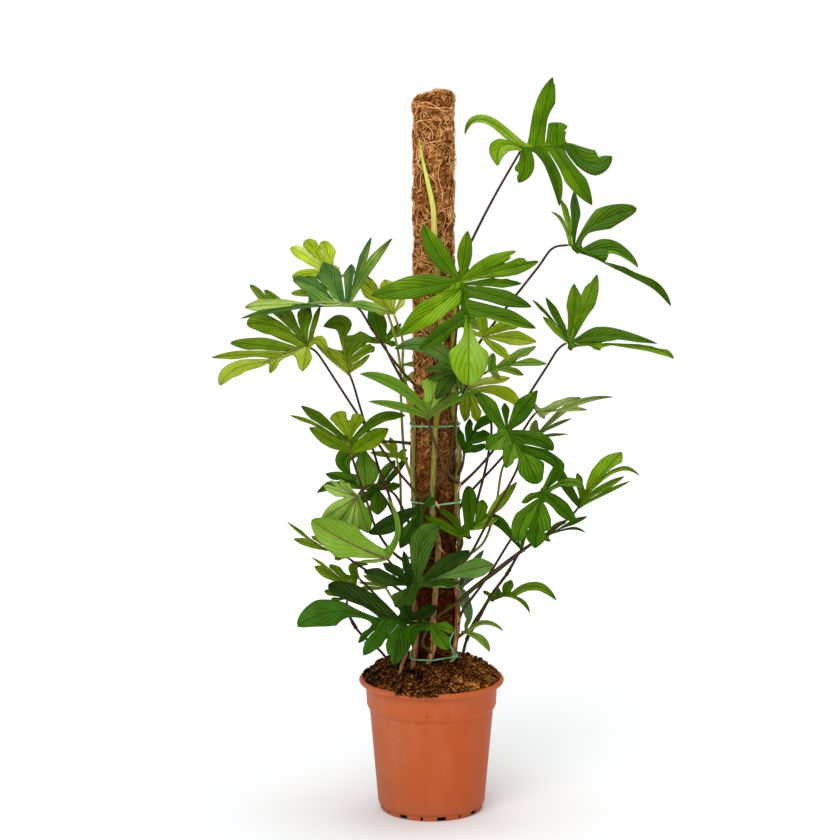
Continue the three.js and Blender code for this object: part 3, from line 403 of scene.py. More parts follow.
def strands(name, lines, materials, sides=4, closed=False):
    """Round strands along lines, as one mesh. Each line is its points, their radii and a material."""
    curve = bpy.data.curves.new(name, "CURVE")
    curve.dimensions = "3D"
    curve.bevel_depth = 1
    curve.bevel_resolution = (sides - 4) // 2
    curve.use_fill_caps = True
    for material in materials:
        curve.materials.append(material)
    for points, radii, material in lines:
        spline = curve.splines.new("POLY")
        spline.points.add(len(points) - 1)
        spline.points.foreach_set("co", [c for p in points for c in (*p, 1)])
        spline.points.foreach_set("radius", radii)
        spline.material_index = material
        spline.use_cyclic_u = closed
    return settled(placed(name, curve))


def join(whole, part):
    """Adds the second shape to the first."""
    mesh = bpy.data.meshes.new("part")
    part.to_mesh(mesh)
    part.free()
    whole.from_mesh(mesh)
    bpy.data.meshes.remove(mesh)


def heap(count, bit):
    """Many small bits as one mesh, made in batches, because operators slow as a mesh grows."""
    whole = bmesh.new()
    for start in range(0, count, BATCH):
        batch = bmesh.new()
        for _ in range(min(BATCH, count - start)):
            bit(batch)
        join(whole, batch)
    return whole


dice = random.Random(11)


def mix_spot(lift):
    """A place on the mix, denser on the spill that lies on the front lip and hangs over it."""
    if dice.random() < SPILT:
        x = dice.uniform(SPILL_FROM, SPILL_TO)
        middle = (SPILL_FROM + SPILL_TO) / 2
        reach = max(0.05, 1 - ((x - middle) / (SPILL_TO - middle)) ** 2)
        if dice.random() < ON_LIP:
            radius = dice.uniform(0.104, 0.1185 + 0.002 * reach)
            height = 0.2262 + 0.002 * reach
        else:
            radius = dice.uniform(0.1202, 0.1216)
            height = 0.2235 - dice.random() ** 2 * 0.0045 * reach
        return Vector((x, -math.sqrt(radius ** 2 - x ** 2), height + lift))
    turn = dice.uniform(0, 2 * math.pi)
    radius = MIX_R * math.sqrt(dice.uniform(0.08, 1))
    spot = Vector((radius * math.cos(turn), radius * math.sin(turn), on_mix(radius)))
    spot.z += lump(spot) + lift
    return spot


def any_turn():
    """A turn any way round."""
    turns = [dice.uniform(0, 2 * math.pi) for _ in range(3)]
    return Matrix.Rotation(turns[0], 4, "X") @ Matrix.Rotation(turns[1], 4, "Y") \
        @ Matrix.Rotation(turns[2], 4, "Z")


def crumb(batch):
    """A crumb of peat, turned any way and a little uneven."""
    size = dice.choice(CRUMB_SIZES) * dice.uniform(0.7, 1.3)
    place = Matrix.Translation(mix_spot(size * 0.3)) @ any_turn() \
        @ Matrix.Diagonal((size, size * dice.uniform(0.6, 1), size * dice.uniform(0.5, 0.9), 1))
    made = bmesh.ops.create_icosphere(batch, subdivisions=1, radius=1, matrix=place)
    for v in made["verts"]:
        v.co += Vector([dice.gauss(0, size * 0.16) for _ in range(3)])


def chip(batch):
    """A flat chip of bark."""
    size = dice.uniform(0.0010, 0.0034)
    place = Matrix.Translation(mix_spot(size * 0.5)) @ any_turn() \
        @ Matrix.Diagonal((size * 2, size * dice.uniform(0.8, 1.4), size * 0.5, 1))
    bmesh.ops.create_icosphere(batch, subdivisions=1, radius=0.6, matrix=place)


def mix_fibre():
    """A loose fibre that lies on the mix in a shallow curve."""
    start = mix_spot(0.001)
    if start.z < 0.2245:
        fall = [start + Vector((dice.gauss(0, 0.0015), 0, -0.0022)) * i for i in range(5)]
        return fall, MIX_FIBRE_R, 0
    turn = dice.uniform(0, 2 * math.pi)
    bend = dice.uniform(-0.6, 0.6)
    reach = dice.uniform(0.003, 0.0075)
    points = [start]
    for _ in range(4):
        turn += bend
        ahead = points[-1] + Vector((reach * math.cos(turn), reach * math.sin(turn), 0))
        ahead *= min(1, 0.116 / math.hypot(ahead.x, ahead.y))
        ahead.z = on_mix(math.hypot(ahead.x, ahead.y)) + lump(ahead) + dice.uniform(0, 0.003)
        points.append(ahead)
    return points, MIX_FIBRE_R, 0


mix_rings = [0.1118 - 0.0026 * i for i in range(43)]
mix_bm = turned(MIX_FOOT + [(r, on_mix(r)) for r in mix_rings], MIX_SIDES)
for v in mix_bm.verts:
    if v.co.z > MIX_EDGE:
        v.co.z += lump(v.co) + noise.noise(v.co * 300) * 0.0012 * min(1, (v.co.z - MIX_EDGE) * 300)
moist = Finish("potting_mix")
# The mix is paler towards the right.
paler_rightwards = moist.axis("X") * 0.7
crumbly = moist.add("SeparateColor", {}, {0: moist.cells(380)}, 0)
tone = crumbly * 0.46 + moist.grain(42, 3) * 0.6 + paler_rightwards - 0.055
earth = moist.shades(tone, (0.22, 8, 2, 0), (0.40, 28, 10, 0), (0.54, 76, 36, 2),
                   (0.66, 146, 82, 20), (0.82, 222, 158, 84))
moist_skin = moist.bump(moist.grain(700, 4), 0.0006)
earthy = moist.paint(earth, 0.86, moist_skin, 0.08)
specks_bm = bmesh.new()
for x, height in SPECKS:
    below, above = next(pair for pair in zip(POT_SIDE, POT_SIDE[1:]) if pair[1][1] >= height * 0.001)
    up = (height * 0.001 - below[1]) / (above[1] - below[1])
    radius = below[0] + (above[0] - below[0]) * up
    place = Vector((x * 0.001, -math.sqrt(radius ** 2 - (x * 0.001) ** 2), height * 0.001))
    flat = Matrix.Diagonal((dice.uniform(0.0007, 0.0014), 0.0005, dice.uniform(0.0005, 0.0010), 1))
    flat = Matrix.Translation(place) @ flat
    bmesh.ops.create_icosphere(specks_bm, subdivisions=1, radius=1, matrix=flat)
piece("mix_specks", specks_bm, [earthy], (), "potting_mix")
piece("mix_heap", mix_bm, [earthy], ["soil"], "potting_mix")
piece("mix_crumbs", heap(CRUMBS, crumb), [earthy], (), "potting_mix", flat=True)

pale = Finish("bark_chips")
chip_tone = pale.add("SeparateColor", {}, {0: pale.cells(160)}, 1)
chip_color = pale.shades(chip_tone, (0.0, 70, 32, 4), (0.5, 134, 78, 26), (1.0, 200, 146, 84))
pale_chips = pale.paint(chip_color, 0.8, pale.bump(pale.grain(900, 3), 0.0003), 0.1)
piece("mix_chips", heap(CHIPS, chip), [pale_chips], (), "potting_mix", flat=True)
fibres_bm = strands("mix_fibres", [mix_fibre() for _ in range(MIX_FIBRES)], [pale_chips])
piece("mix_fibres", fibres_bm, [pale_chips], (), "coir")


# Pole: coconut fibre needled into a thick sleeve round a wooden stake. Short curly fibres stand all
# over it, with pale loose strands, and it is darker and redder where it stays damp low down.
POLE_X = 0.003
COIR_R = 0.0330
COIR_FOOT = 0.230
COIR_TOP = 1.190
SLEEVE_SIDES = 72
FELT_GAP = 0.0075
COIR_FIBRES = 6200
CAP_FIBRES = 420
TUFT_GAP = -0.16
STRANDS = [(0.27, 1.10, 150, 0.0006), (1.03, 1.172, 26, 0.0009)]
STRING_R = 0.0008
WET_FROM = 0.86
WET_TO = 0.50
STRING_Z = 1.1645
SHOULDER = 0.0075

sleeve_profile = [(0, COIR_FOOT), (COIR_R, COIR_FOOT)]
sleeve_profile += [(COIR_R, COIR_FOOT + FELT_GAP * i) for i in range(1, 126)]
sleeve_profile += [(COIR_R - 0.0015, COIR_TOP - 0.007), (COIR_R - 0.006, COIR_TOP - 0.002),
                   (COIR_R - 0.015, COIR_TOP), (COIR_R - 0.024, COIR_TOP), (0, COIR_TOP)]
sleeve_bm = turned(sleeve_profile, SLEEVE_SIDES)


def bulge(around, z):
    """How far the felt stands out there, around being a direction from the pole's middle."""
    at = Vector((around[0] * COIR_R, around[1] * COIR_R, z))
    fuller = min(1, max(0, (0.66 - z) / 0.08)) * 0.0014
    leaning = max(0, around[0]) ** 2 * min(1, max(0, (0.80 - z) / 0.06)) * 0.0034
    return noise.noise(at * 30) * 0.0026 + noise.noise(at * 95) * 0.0016 - 0.0009 + fuller + leaning


def slump(x, z):
    """How far the worn left shoulder of the top has sunk there."""
    return max(0, (0.006 - x) / COIR_R) * SHOULDER * min(1, max(0, (z - 1.13) / 0.05))


for v in sleeve_bm.verts:
    out = Vector((v.co.x, v.co.y, 0))
    if out.length > 0.01:
        v.co += out.normalized() * bulge(out.normalized(), v.co.z)
    v.co.z -= slump(v.co.x, v.co.z)
    if v.co.z > 1.15:
        v.co.z += noise.noise(v.co * 75) * 0.004 - 0.001
bmesh.ops.translate(sleeve_bm, vec=(POLE_X, 0, 0), verts=sleeve_bm.verts)


def damped(finish, tone, dry, wet):
    """The fibre's dry colours, and its wet ones low down."""
    low_down = (finish.axis("Z") + finish.grain(9, 2) * 0.14).step(WET_FROM, WET_TO)
    return finish.mix(low_down, finish.shades(tone, *dry), finish.shades(tone, *wet))


coir = Finish("coir")
felt_tone = coir.grain(260, 4) * 0.55 + coir.grain(55, 3) * 0.45
coir_color = damped(coir, felt_tone, [(0.34, 42, 18, 4), (0.50, 96, 54, 22), (0.68, 150, 96, 50)],
                    [(0.34, 22, 6, 0), (0.50, 56, 22, 0), (0.68, 96, 46, 4)])
coir_skin = coir.bump(coir.grain(420, 5), 0.0016)
needled = coir.paint(coir_color, 0.95, coir_skin, 0.0)

fuzz = Finish("coir_fibre")
fuzz_tone = fuzz.grain(150, 3) * 0.6 + fuzz.grain(44, 2) * 0.4
fuzz_color = damped(fuzz, fuzz_tone, [(0.36, 118, 68, 28), (0.48, 190, 126, 66), (0.62, 244, 192, 128)],
                    [(0.36, 44, 16, 0), (0.50, 94, 44, 0), (0.64, 160, 88, 18)])
fuzz_color = fuzz.mix(fuzz.axis("Z").step(1.168, 1.186) * 0.35, fuzz_color, srgb(104, 60, 36))
fuzzy = fuzz.paint(fuzz_color, 0.9, fuzz.bump(fuzz.grain(700, 2), 0.0002), 0.02)
piece("coir_sleeve_felt", sleeve_bm, [needled], ["coir_sleeve"], "coir")

dice = random.Random(5)


def coir_fibre(low, high, length, lift, thick, combed, steps):
    """A fibre on the sleeve that stands out in the middle and goes back in at its ends. Combed ones
    lie in tufts, with dark gaps between the tufts."""
    while True:
        turn = dice.uniform(0, 2 * math.pi)
        z = dice.uniform(low, high)
        at = Vector((math.cos(turn) * COIR_R, math.sin(turn) * COIR_R, z))
        if not combed or noise.noise(at * 75 + Vector((9, 0, 0))) > TUFT_GAP:
            break
    way = dice.uniform(0, 2 * math.pi)
    if combed:
        way = noise.noise(at * 48) * 9 + dice.gauss(0, 0.5)
    sway = dice.uniform(0.4, 1.2)
    wave = dice.uniform(1.0, 2.6) / steps * math.pi
    phase = dice.uniform(0, 2 * math.pi)
    points = []
    for i in range(steps + 1):
        around = (math.cos(turn), math.sin(turn))
        out = COIR_R + bulge(around, z) - 0.0006 + lift * math.sin(math.pi * i / steps)
        out -= max(0, z - (COIR_TOP - 0.014)) ** 2 * 36
        x = POLE_X + out * around[0]
        points.append(Vector((x, out * around[1], z - slump(x - POLE_X, z))))
        heading = way + sway * math.sin(wave * i + phase)
        turn += math.cos(heading) * length / steps / COIR_R
        z = min(z + math.sin(heading) * length / steps, COIR_TOP - 0.004)
    return points, [thick * 0.5] + [thick] * (steps - 1) + [thick * 0.4], 0


def cap_fibre():
    """A fibre that lies across the rounded top of the sleeve."""
    turn = dice.uniform(0, 2 * math.pi)
    radius = COIR_R * math.sqrt(dice.random()) * 0.92
    centre = Vector((POLE_X + radius * math.cos(turn), radius * math.sin(turn), 0))
    heading = dice.uniform(0, 2 * math.pi)
    points = []
    for i in range(5):
        from_axis = math.hypot(centre.x - POLE_X, centre.y) / COIR_R
        centre.z = COIR_TOP - 0.003 + 0.003 * math.sin(math.pi * i / 4) - 0.006 * from_axis ** 6
        centre.z += noise.noise(centre * 75) * 0.004
        centre.z -= slump(centre.x - POLE_X, COIR_TOP)
        if from_axis > 0.94:
            break
        points.append(centre.copy())
        centre += Vector((math.cos(heading), math.sin(heading), 0)) * 0.004
        heading += dice.gauss(0, 0.5)
    return points, [0.0005] * len(points), 0


halves = [("coir_fuzz_upper", 0.70, COIR_TOP - 0.004), ("coir_fuzz_lower", 0.25, 0.70)]
for name, low, high in halves:
    lines = [coir_fibre(low, high, dice.uniform(0.008, 0.022), dice.uniform(0.0006, 0.0034),
                        dice.uniform(0.00032, 0.00062), True, 3) for _ in range(COIR_FIBRES)]
    if high > 1:
        lines += [line for line in (cap_fibre() for _ in range(CAP_FIBRES)) if len(line[0]) > 2]
    piece(name, strands(name, lines, [fuzzy]), [fuzzy], (), "coir")

straw = Finish("straw_strands")
straw_color = straw.shades(straw.grain(70, 2), (0.35, 196, 130, 72), (0.65, 240, 190, 136))
straw_color = straw.mix(straw.axis("Z").step(WET_FROM, 0.56) * 0.9, straw_color, srgb(128, 66, 22))
straws = straw.paint(straw_color, 0.8, straw.bump(straw.grain(600, 2), 0.0002), 0.1)
lines = [coir_fibre(low, high, dice.uniform(0.045, 0.100), dice.uniform(0.0028, 0.0042),
                    thick * dice.uniform(0.6, 1.2), False, 14)
         for low, high, count, thick in STRANDS for _ in range(count)]
ring_points = []
for i in range(72):
    turn = i / 72 * 2 * math.pi
    out = COIR_R + 0.0006 + noise.noise(Vector((turn * 3, 0, 0))) * 0.0008
    height = STRING_Z + 0.0030 * math.sin(turn * 2) + 0.0012 * math.sin(turn * 5)
    height -= slump(out * math.cos(turn), height) * 0.5
    ring_points.append(Vector((POLE_X + out * math.cos(turn), out * math.sin(turn), height)))
lines.append((ring_points + ring_points[:1], [STRING_R] * (len(ring_points) + 1), 0))
piece("straw_strands", strands("straw_strands", lines, [straws]), [straws], (), "coir")

timber = Finish("stake_wood")
rings = timber.grain(1, 4, timber.stretched(260, 260, 9))
timber_color = timber.shades(rings, (0.35, 150, 112, 66), (0.6, 196, 160, 108))
stake_wood = timber.paint(timber_color, 0.7, timber.bump(rings, 0.0004))
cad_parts["stake"].data.materials.clear()
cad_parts["stake"].data.materials.append(stake_wood)


# Climbing stems: seven shoots that root in the mix and climb the pole, ringed where old leaves have
# dropped. Each point is where it lines up with the pole's plane, seen from the eye: across, height and
# depth in millimetres.
SIGHT = EYE * 1000
STEM_CLEAR = 34.0
STEMS = {
    "front": (4.7, [(-8, 244, -48), (3, 275, -46), (2, 310, -46), (6, 360, -46), (9, 410, -46),
                    (11, 450, -46), (5, 480, -46), (1, 510, -46), (3, 560, -46), (5, 605, -46),
                    (6, 640, -46), (10, 670, -46), (15, 710, -46), (16, 760, -46), (14, 820, -46),
                    (10, 880, -46), (6, 925, -46)]),
    "left": (4.4, [(-33, 232, -50), (-27, 265, -42), (-25, 300, -36), (-30, 380, -28), (-30, 440, -26),
                   (-28, 510, -28), (-31, 560, -26), (-31, 600, -26), (-30, 650, -28), (-37, 685, -20),
                   (-42, 712, -10)]),
    "right": (4.6, [(33, 255, -28), (42, 300, -20), (43, 350, -18), (40, 390, -24), (44, 430, -16),
                    (46, 455, -16), (42, 500, -20), (42, 550, -20), (45, 590, -16), (42, 635, -20),
                    (36, 668, -30), (34, 700, -32), (34, 760, -32), (38, 830, -25), (40, 885, -20)]),
    "back": (4.2, [(10, 262, 40), (20, 330, 44), (0, 420, 46), (15, 520, 46), (-5, 620, 46),
                   (10, 720, 46), (5, 790, 46)]),
    "low_left": (3.0, [(-55, 228, -60), (-41, 265, -62), (-32, 292, -66)]),
    "low_right": (2.6, [(50, 262, 8), (58, 285, 5), (76, 318, 0), (98, 360, -6), (130, 405, -12)]),
    "low_back": (2.2, [(-70, 252, 30), (-85, 267, 28), (-115, 294, 20), (-132, 315, 6)]),
}
NODE_EVERY = 46.0
DARK_SHOOTS = ("low_back", "low_right")
GREEN_STALKS = ("back_high_left", "back_inner_left", "young_left", "bottom_yellow", "slim_right")
STALK_FOOT = 2.4
STALK_TIP = 1.9
STALK_FLARE = 0.5
STEM_STEP = 3
STALK_STEP = 6
ROOTED = 6
LOWEST_STALK = 264
RING = 0.20
WAIST = 0.07

# One row a leaf: its name, stem, height of the stalk's foot, points of the stalk, seat of the blade,
# facing of its upper side, end of its rib, tone, lobes and looks. A lobe is its share along the rib,
# width, the place of its tip, how far the tip stands out of the blade, and the place where it bends.
# The looks are the leaf's tint and light, a tint that also carries painted light and shade and above 1 a
# painted sheen, the pairs of lobes that are joined and how far, whether its rib shows brown, and for a
# lobe, by its number, its own tint and light and where it is curled, torn, necked or blunt.
LEAVES = [
    ("top_right", "right", 868, [(50, 915, -12), (68, 955, 8), (100, 1018, 24)],
     (145, 1097, 20), (-0.1, -0.9, 0.42), (225, 1100), "fresh",
     [(0, 18, 52, 1121, -8, 83, 1142), (0, 36, 106, 1068, 0, 112, 1100), (0, 32, 139, 1041, 0, 149, 1067),
      (0.3, 20, 205, 1003, 0, 196, 1058), (0.62, 32, 258, 1005), (0.25, 32, 193, 1210),
      (0.7, 44, 200, 1138), (1, 46, 289, 1084, 0, 256, 1072)],
     {"tint": 0.2, 0: {"curled": -1, "tint": 1.1}, 1: {"tint": 1}, 2: {"torn": (1, 0.7, 0.5)},
      5: {"torn": (1, 0.9, 0.4)}, 6: {"torn": (1, 0.6, 0.5), "blunt": 0.4}, 7: {"torn": (-1, 0.72, 0.4)}}),
    ("high_right", "right", 730, [(60, 760, 0), (110, 825, 15), (172, 905, 30), (196, 936, 36)],
     (224, 941, 40), (0.3, -0.65, 0.7), (299, 901), "fresh",
     [(0, 9, 192, 994, 0, 212, 976), (0, 13, 205, 1016, 0, 218, 985), (0.06, 20, 229, 1029),
      (0.1, 42, 330, 1000, 0, 262, 974), (0.3, 36, 333, 904, 0, 291, 933), (0, 10, 236, 926),
      (1, 20, 387, 841, 0, 353, 879)],
     {"tint": 0.1, 0: {"curled": 1, "tint": 1}, 1: {"curled": 1, "tint": 1},
      3: {"neck": (0.12, 0.62), "blunt": 0.5, "tint": 0.3}, 4: {"curled": 1}, 6: {"curled": -1}}),
    ("mid_right", "right", 540, [(70, 568, -30), (100, 603, -25), (137, 662, -15), (187, 742, 0),
      (207, 773, 5)],
     (222, 783, 8), (0.1, -0.7, 0.7), (307, 777), "fresh",
     [(0, 17, 180, 824), (0, 8, 163, 851, 0, 183, 831), (0, 14, 184, 856),
      (0.02, 26, 230, 878, 0, 230, 836), (0.06, 30, 267, 893, 0, 249, 843),
      (0.12, 32, 366, 780, 0, 281, 794), (1, 15, 393, 755, 0, 364, 770), (0.45, 14, 274, 769),
      (0, 12, 226, 768)],
     {"joined": [(3, 4, 0.78)], 0: {"curled": 1, "tint": 1.1}, 2: {"curled": 1},
      3: {"neck": (0.4, 0.5), "tint": 0.8}, 4: {"neck": (0.4, 0.5), "torn": (-1, 0.85, 0.3), "tint": 0.8}}),
    ("front_centre", "right", 718, [(37, 768, -48), (41, 812, -84), (44, 850, -108)],
     (47, 882, -125), (0.05, -0.88, 0.47), (60, 805), "fresh",
     [(0, 32, -14, 974, 0, 10, 926), (0, 24, 58, 964), (0, 28, 136, 931), (0, 34, 173, 914),
      (0.05, 20, 146, 878), (0.12, 30, 162, 840), (0.55, 30, 169, 805), (0, 40, -99, 858),
      (0.15, 40, -51, 795), (0.75, 26, -21, 769), (1, 62, 60, 711)],
     {"joined": [(2, 3, 0.74), (3, 4, 0.55), (7, 8, 0.3)], 0: {"tint": 0.4},
      2: {"torn": (1, 0.86, 0.5), "tint": 0.65}, 3: {"torn": (-1, 0.85, 0.5), "tint": 0.6},
      6: {"curled": 1}, 8: {"tint": 0.8}, 9: {"tint": 0},
      10: {"neck": (0.3, 0.42), "tint": 1.12, "blunt": 0.5}}),
    ("high_left", "front", 688, [(-20, 706, -50), (-60, 750, -42), (-100, 809, -32), (-117, 836, -26)],
     (-135, 847, -22), (-0.05, -0.65, 0.75), (-235, 843), "bluish",
     [(0, 18, -63, 952, 0, -104, 902), (0, 16, -97, 954, 0, -117, 902), (0, 26, -130, 910),
      (0.1, 40, -175, 913, 0, -160, 880), (0.2, 38, -224, 886, 0, -185, 870), (1, 24, -303, 839),
      (0, 18, -68, 831), (0.55, 13, -310, 821)],
     {"joined": [(3, 4, 0.82)], "rib": 1, 0: {"curled": -1, "tint": 0.9}, 1: {"tint": 0.7},
      3: {"tint": 0.3}, 4: {"blunt": 0.5, "tint": 0.4}, 5: {"curled": 1, "tint": 1.7}, 6: {"tint": 1}}),
    ("mid_left", "front", 530, [(-20, 526, -54), (-35, 545, -54), (-60, 575, -52), (-92, 622, -48),
      (-115, 655, -50), (-158, 722, -58), (-177, 752, -60), (-188, 767, -60)],
     (-202, 776, -60), (-0.1, -0.7, 0.7), (-275, 748), "olive",
     [(0, 12, -180, 843, 0, -191, 812), (0, 30, -197, 843, 0, -208, 812), (0, 18, -271, 868, 0, -234, 828),
      (0, 20, -294, 877), (0, 40, -300, 812, 0, -253, 808), (0.25, 26, -327, 781), (0.5, 18, -358, 757),
      (1, 32, -344, 711, 0, -319, 738), (0, 18, -169, 764, 0, -184, 786), (0, 26, -210, 734),
      (0.65, 14, -263, 731)],
     {"rib": 1, "tint": 0.3, 1: {"tint": 0.1}, 2: {"blunt": 0.45}, 3: {"blunt": 0.45},
      4: {"blunt": 0.45, "tint": 0.4}, 5: {"blunt": 0.6}, 6: {"tint": 0.8}, 7: {"blunt": 0.6, "tint": 1.1},
      8: {"tint": 1}, 9: {"tint": 1.1}, 10: {"tint": 1}}),
    ("inner_left", "left", 432, [(-58, 490, -30), (-70, 530, -30), (-85, 570, -30), (-100, 620, -30),
      (-118, 680, -32), (-128, 715, -33)],
     (-135, 733, -32), (0, -0.75, 0.66), (-144, 796), "olive",
     [(0, 14, -100, 762), (0.3, 32, -92, 774), (0.8, 30, -96, 789), (0, 16, -194, 792, 0, -169, 766),
      (1, 30, -176, 808, 0, -146, 812)],
     {"joined": [(1, 2, 0.75)], "rib": 1, "tint": 0.3, 1: {"tint": 0.5}, 3: {"tint": 0.8},
      4: {"tint": 0.2}}),
    ("back_high_left", "left", 548, [(-43, 590, -14), (-50, 690, 2), (-51, 740, 8), (-62, 800, 20),
      (-88, 868, 38), (-115, 896, 46)],
     (-150, 890, 50), (0, -0.6, 0.8), (-178, 905), "young",
     [(0, 18, -158, 908), (0.2, 28, -176, 947), (0.6, 32, -203, 949), (1, 28, -227, 937),
      (0.5, 22, -226, 888), (0, 24, -228, 862, 0, -184, 868)],
     {"joined": [(1, 2, 0.45), (2, 3, 0.5)], 1: {"blunt": 0.45}, 2: {"blunt": 0.45, "tint": 0.3},
      3: {"blunt": 0.45, "tint": 0.9}, 4: {"blunt": 0.45}, 5: {"blunt": 0.45, "tint": 0.3}}),
    ("back_inner_left", "left", 695, [(-47, 745, 20), (-47, 785, 42), (-54, 808, 52)],
     (-62, 830, 60), (0.1, -0.9, 0.42), None, "young",
     [(0, 36, -119, 890), (0, 40, -76, 885), (0, 18, -98, 838), (0, 16, -44, 858)],
     {"joined": [(0, 1, 0.6)], "tint": 0.9}),
    ("behind_centre", "right", 672, [(48, 690, -28), (55, 715, -26), (70, 765, -12)],
     (84, 792, -4), (0, -0.7, 0.7), None, "young",
     [(0, 34, 170, 783), (0, 24, 150, 818), (0, 20, 128, 752), (0, 18, 80, 835), (0, 14, 52, 800)],
     {}),
    ("behind_right", "right", 690, [(52, 705, -8), (70, 722, 8)],
     (95, 736, 14), (0.05, -0.6, 0.8), (130, 748), "fresh",
     [(0, 14, 100, 765), (0.5, 22, 170, 776), (1, 20, 187, 747), (0, 14, 110, 720), (0.4, 14, 150, 728)],
     {"tint": 1.1}),
    ("pole_front", "front", 540, [(22, 562, -52), (32, 602, -53), (38, 650, -55), (42, 700, -64)],
     (43, 737, -76), (-0.1, -0.85, 0.5), None, "teal",
     [(0, 28, -61, 771, 0, -5, 775), (0, 16, -13, 738), (0, 14, -6, 721), (0, 26, 6, 688),
      (0, 16, 50, 700)],
     {"joined": [(0, 1, 0.6), (1, 2, 0.5)], "tint": 0.8, 0: {"tint": 1.05}, 1: {"tint": 1},
      3: {"tint": 0.5}}),
    ("pole_front_pale", "right", 548, [(26, 568, -72), (12, 598, -80), (0, 632, -88)],
     (-7, 659, -97), (0, -0.9, 0.43), (-1, 682), "pale",
     [(0, 14, -104, 685, 0, -50, 676), (0.4, 20, -117, 730, 0, -62, 714), (1, 58, 14, 724),
      (0, 12, 79, 701, 0, 40, 688), (0.4, 14, 50, 702)],
     {"tint": -0.1, 0: {"tint": -0.3}, 1: {"tint": -0.4}, 2: {"tint": 0.5}, 3: {"tint": -0.3}}),
    ("inner_left_dark", "left", 700, [(-60, 742, 18), (-70, 762, 34)],
     (-78, 782, 45), (0, -0.8, 0.6), None, "fresh",
     [(0, 30, -98, 843), (0, 14, -49, 813), (0, 14, -120, 790), (0, 12, -56, 778)],
     {}),
    ("young_right", "right", 462, [(66, 496, -12), (80, 540, -6), (93, 600, -2), (97, 650, 0),
      (86, 680, 8)],
     (60, 706, 20), (0, 0.9, 0.43), None, "young",
     [(0, 22, 128, 724), (0, 24, 146, 671, 0, 112, 702), (0, 26, 96, 668), (0, 26, 76, 650),
      (0, 24, 54, 651), (0, 14, 40, 722)],
     {"joined": [(2, 3, 0.6), (3, 4, 0.6)]}),
    ("big_right", "right", 402, [(62, 428, -25), (90, 480, -35), (118, 530, -42), (143, 585, -48),
      (138, 620, -60)],
     (122, 638, -80), (0.1, -0.85, 0.5), (150, 600), "deep",
     [(0, 28, 73, 702), (0, 18, 119, 683), (0, 30, 173, 704), (0.2, 26, 198, 603, 0, 176, 620),
      (0.6, 20, 187, 543, 0, 204, 586), (1, 44, 174, 548), (0.45, 24, 121, 574), (0.1, 36, 87, 604)],
     {"joined": [(3, 4, 0.5), (4, 5, 0.4), (5, 6, 0.45), (6, 7, 0.6)], "tint": 0.6, 2: {"blunt": 1},
      5: {"tint": 0.8, "blunt": 0.5}, 6: {"tint": 0.8}, 7: {"blunt": 1.1, "tint": 0.9}}),
    ("grey_right", "right", 500, [(60, 530, -10), (115, 592, -5), (150, 638, -2), (162, 657, 0)],
     (172, 668, 2), (0, -0.55, 0.83), (205, 671), "grey",
     [(0, 10, 163, 684), (0.4, 20, 243, 692), (1, 12, 254, 671), (0, 12, 184, 656)],
     {"tint": 0.8}),
    ("slim_right", "right", 415, [(85, 450, 18), (105, 512, 32), (118, 580, 34), (140, 608, 34)],
     (163, 624, 34), (0, -0.55, 0.83), (185, 640), "grey",
     [(0, 14, 170, 655), (1, 14, 297, 692, 0, 232, 680), (0.5, 8, 229, 657), (0, 8, 223, 631)],
     {}),
    ("low_right", "front", 318, [(45, 352, -50), (60, 367, -48), (100, 400, -44), (148, 437, -38),
      (178, 458, -36), (222, 488, -32), (233, 499, -31)],
     (243, 512, -30), (0.15, -0.75, 0.65), (258, 540), "fresh",
     [(0, 20, 206, 580, 0, 216, 552), (0.4, 16, 238, 567), (1, 36, 311, 601),
      (0.6, 12, 341, 561, 0, 300, 572), (0.35, 13, 316, 561), (0, 8, 326, 553)],
     {"tint": 0.65, 0: {"tint": 0.1}}),
    ("drooping_right", "right", 300, [(48, 328, -22), (80, 375, -30), (100, 405, -34), (130, 455, -42),
      (152, 486, -48), (172, 517, -58)],
     (183, 535, -66), (0.05, -0.9, 0.42), (176, 512), "deep",
     [(0, 16, 147, 516), (1, 44, 170, 440), (0.6, 32, 143, 452, 0, 150, 486), (0, 24, 238, 483),
      (0, 15, 249, 541, 0, 222, 551), (0, 22, 203, 584, 0, 202, 560)],
     {"joined": [(1, 2, 0.62)], 4: {"neck": (0.35, 0.5), "tint": 1.1, "blunt": 0.5}, "tint": 0.75,
      1: {"torn": (-1, 0.6, 0.4), "tint": 0.6}, 2: {"blunt": 0.5}}),
    ("small_right", "right", 342, [(70, 372, -10), (110, 403, -8), (150, 436, -5)],
     (180, 458, -3), (0, -0.6, 0.8), (205, 470), "fresh",
     [(0, 10, 178, 474), (0.4, 14, 222, 488), (1, 12, 256, 494), (0.5, 8, 253, 466, 0, 228, 474),
      (0, 10, 196, 452)],
     {}),
    ("pole_right", "right", 432, [(50, 447, -30)],
     (50, 461, -46), (0.4, -0.85, 0.35), (96, 498), "fresh",
     [(0, 16, -13, 495), (0, 12, 10, 505, 0, 32, 492), (0.3, 30, 60, 545), (0.55, 28, 84, 522),
      (1, 18, 140, 552, 0, 114, 520), (0.3, 14, 110, 491), (0, 10, 66, 458)],
     {"tint": 0.5, 2: {"tint": 0.1, "blunt": 0.5}, 4: {"tint": 0.9}, 5: {"tint": 1}}),
    ("bottom_right", "low_right", 285, [(68, 312, 14), (84, 338, 16)],
     (96, 359, 16), (0, -0.65, 0.76), (135, 362), "fresh",
     [(0, 8, 85, 369), (0.3, 10, 110, 374), (0.6, 18, 132, 387), (1, 18, 206, 352, 0, 172, 376),
      (0.85, 8, 162, 331, 0, 150, 350), (0, 10, 102, 350)],
     {}),
    ("bottom_slim", "right", 285, [],
     (56, 299, -24), (0, -0.6, 0.8), None, "pale",
     [(0, 10, 119, 300, 0, 88, 315), (0, 14, 96, 265, 0, 82, 286), (0, 8, 60, 322)],
     {}),
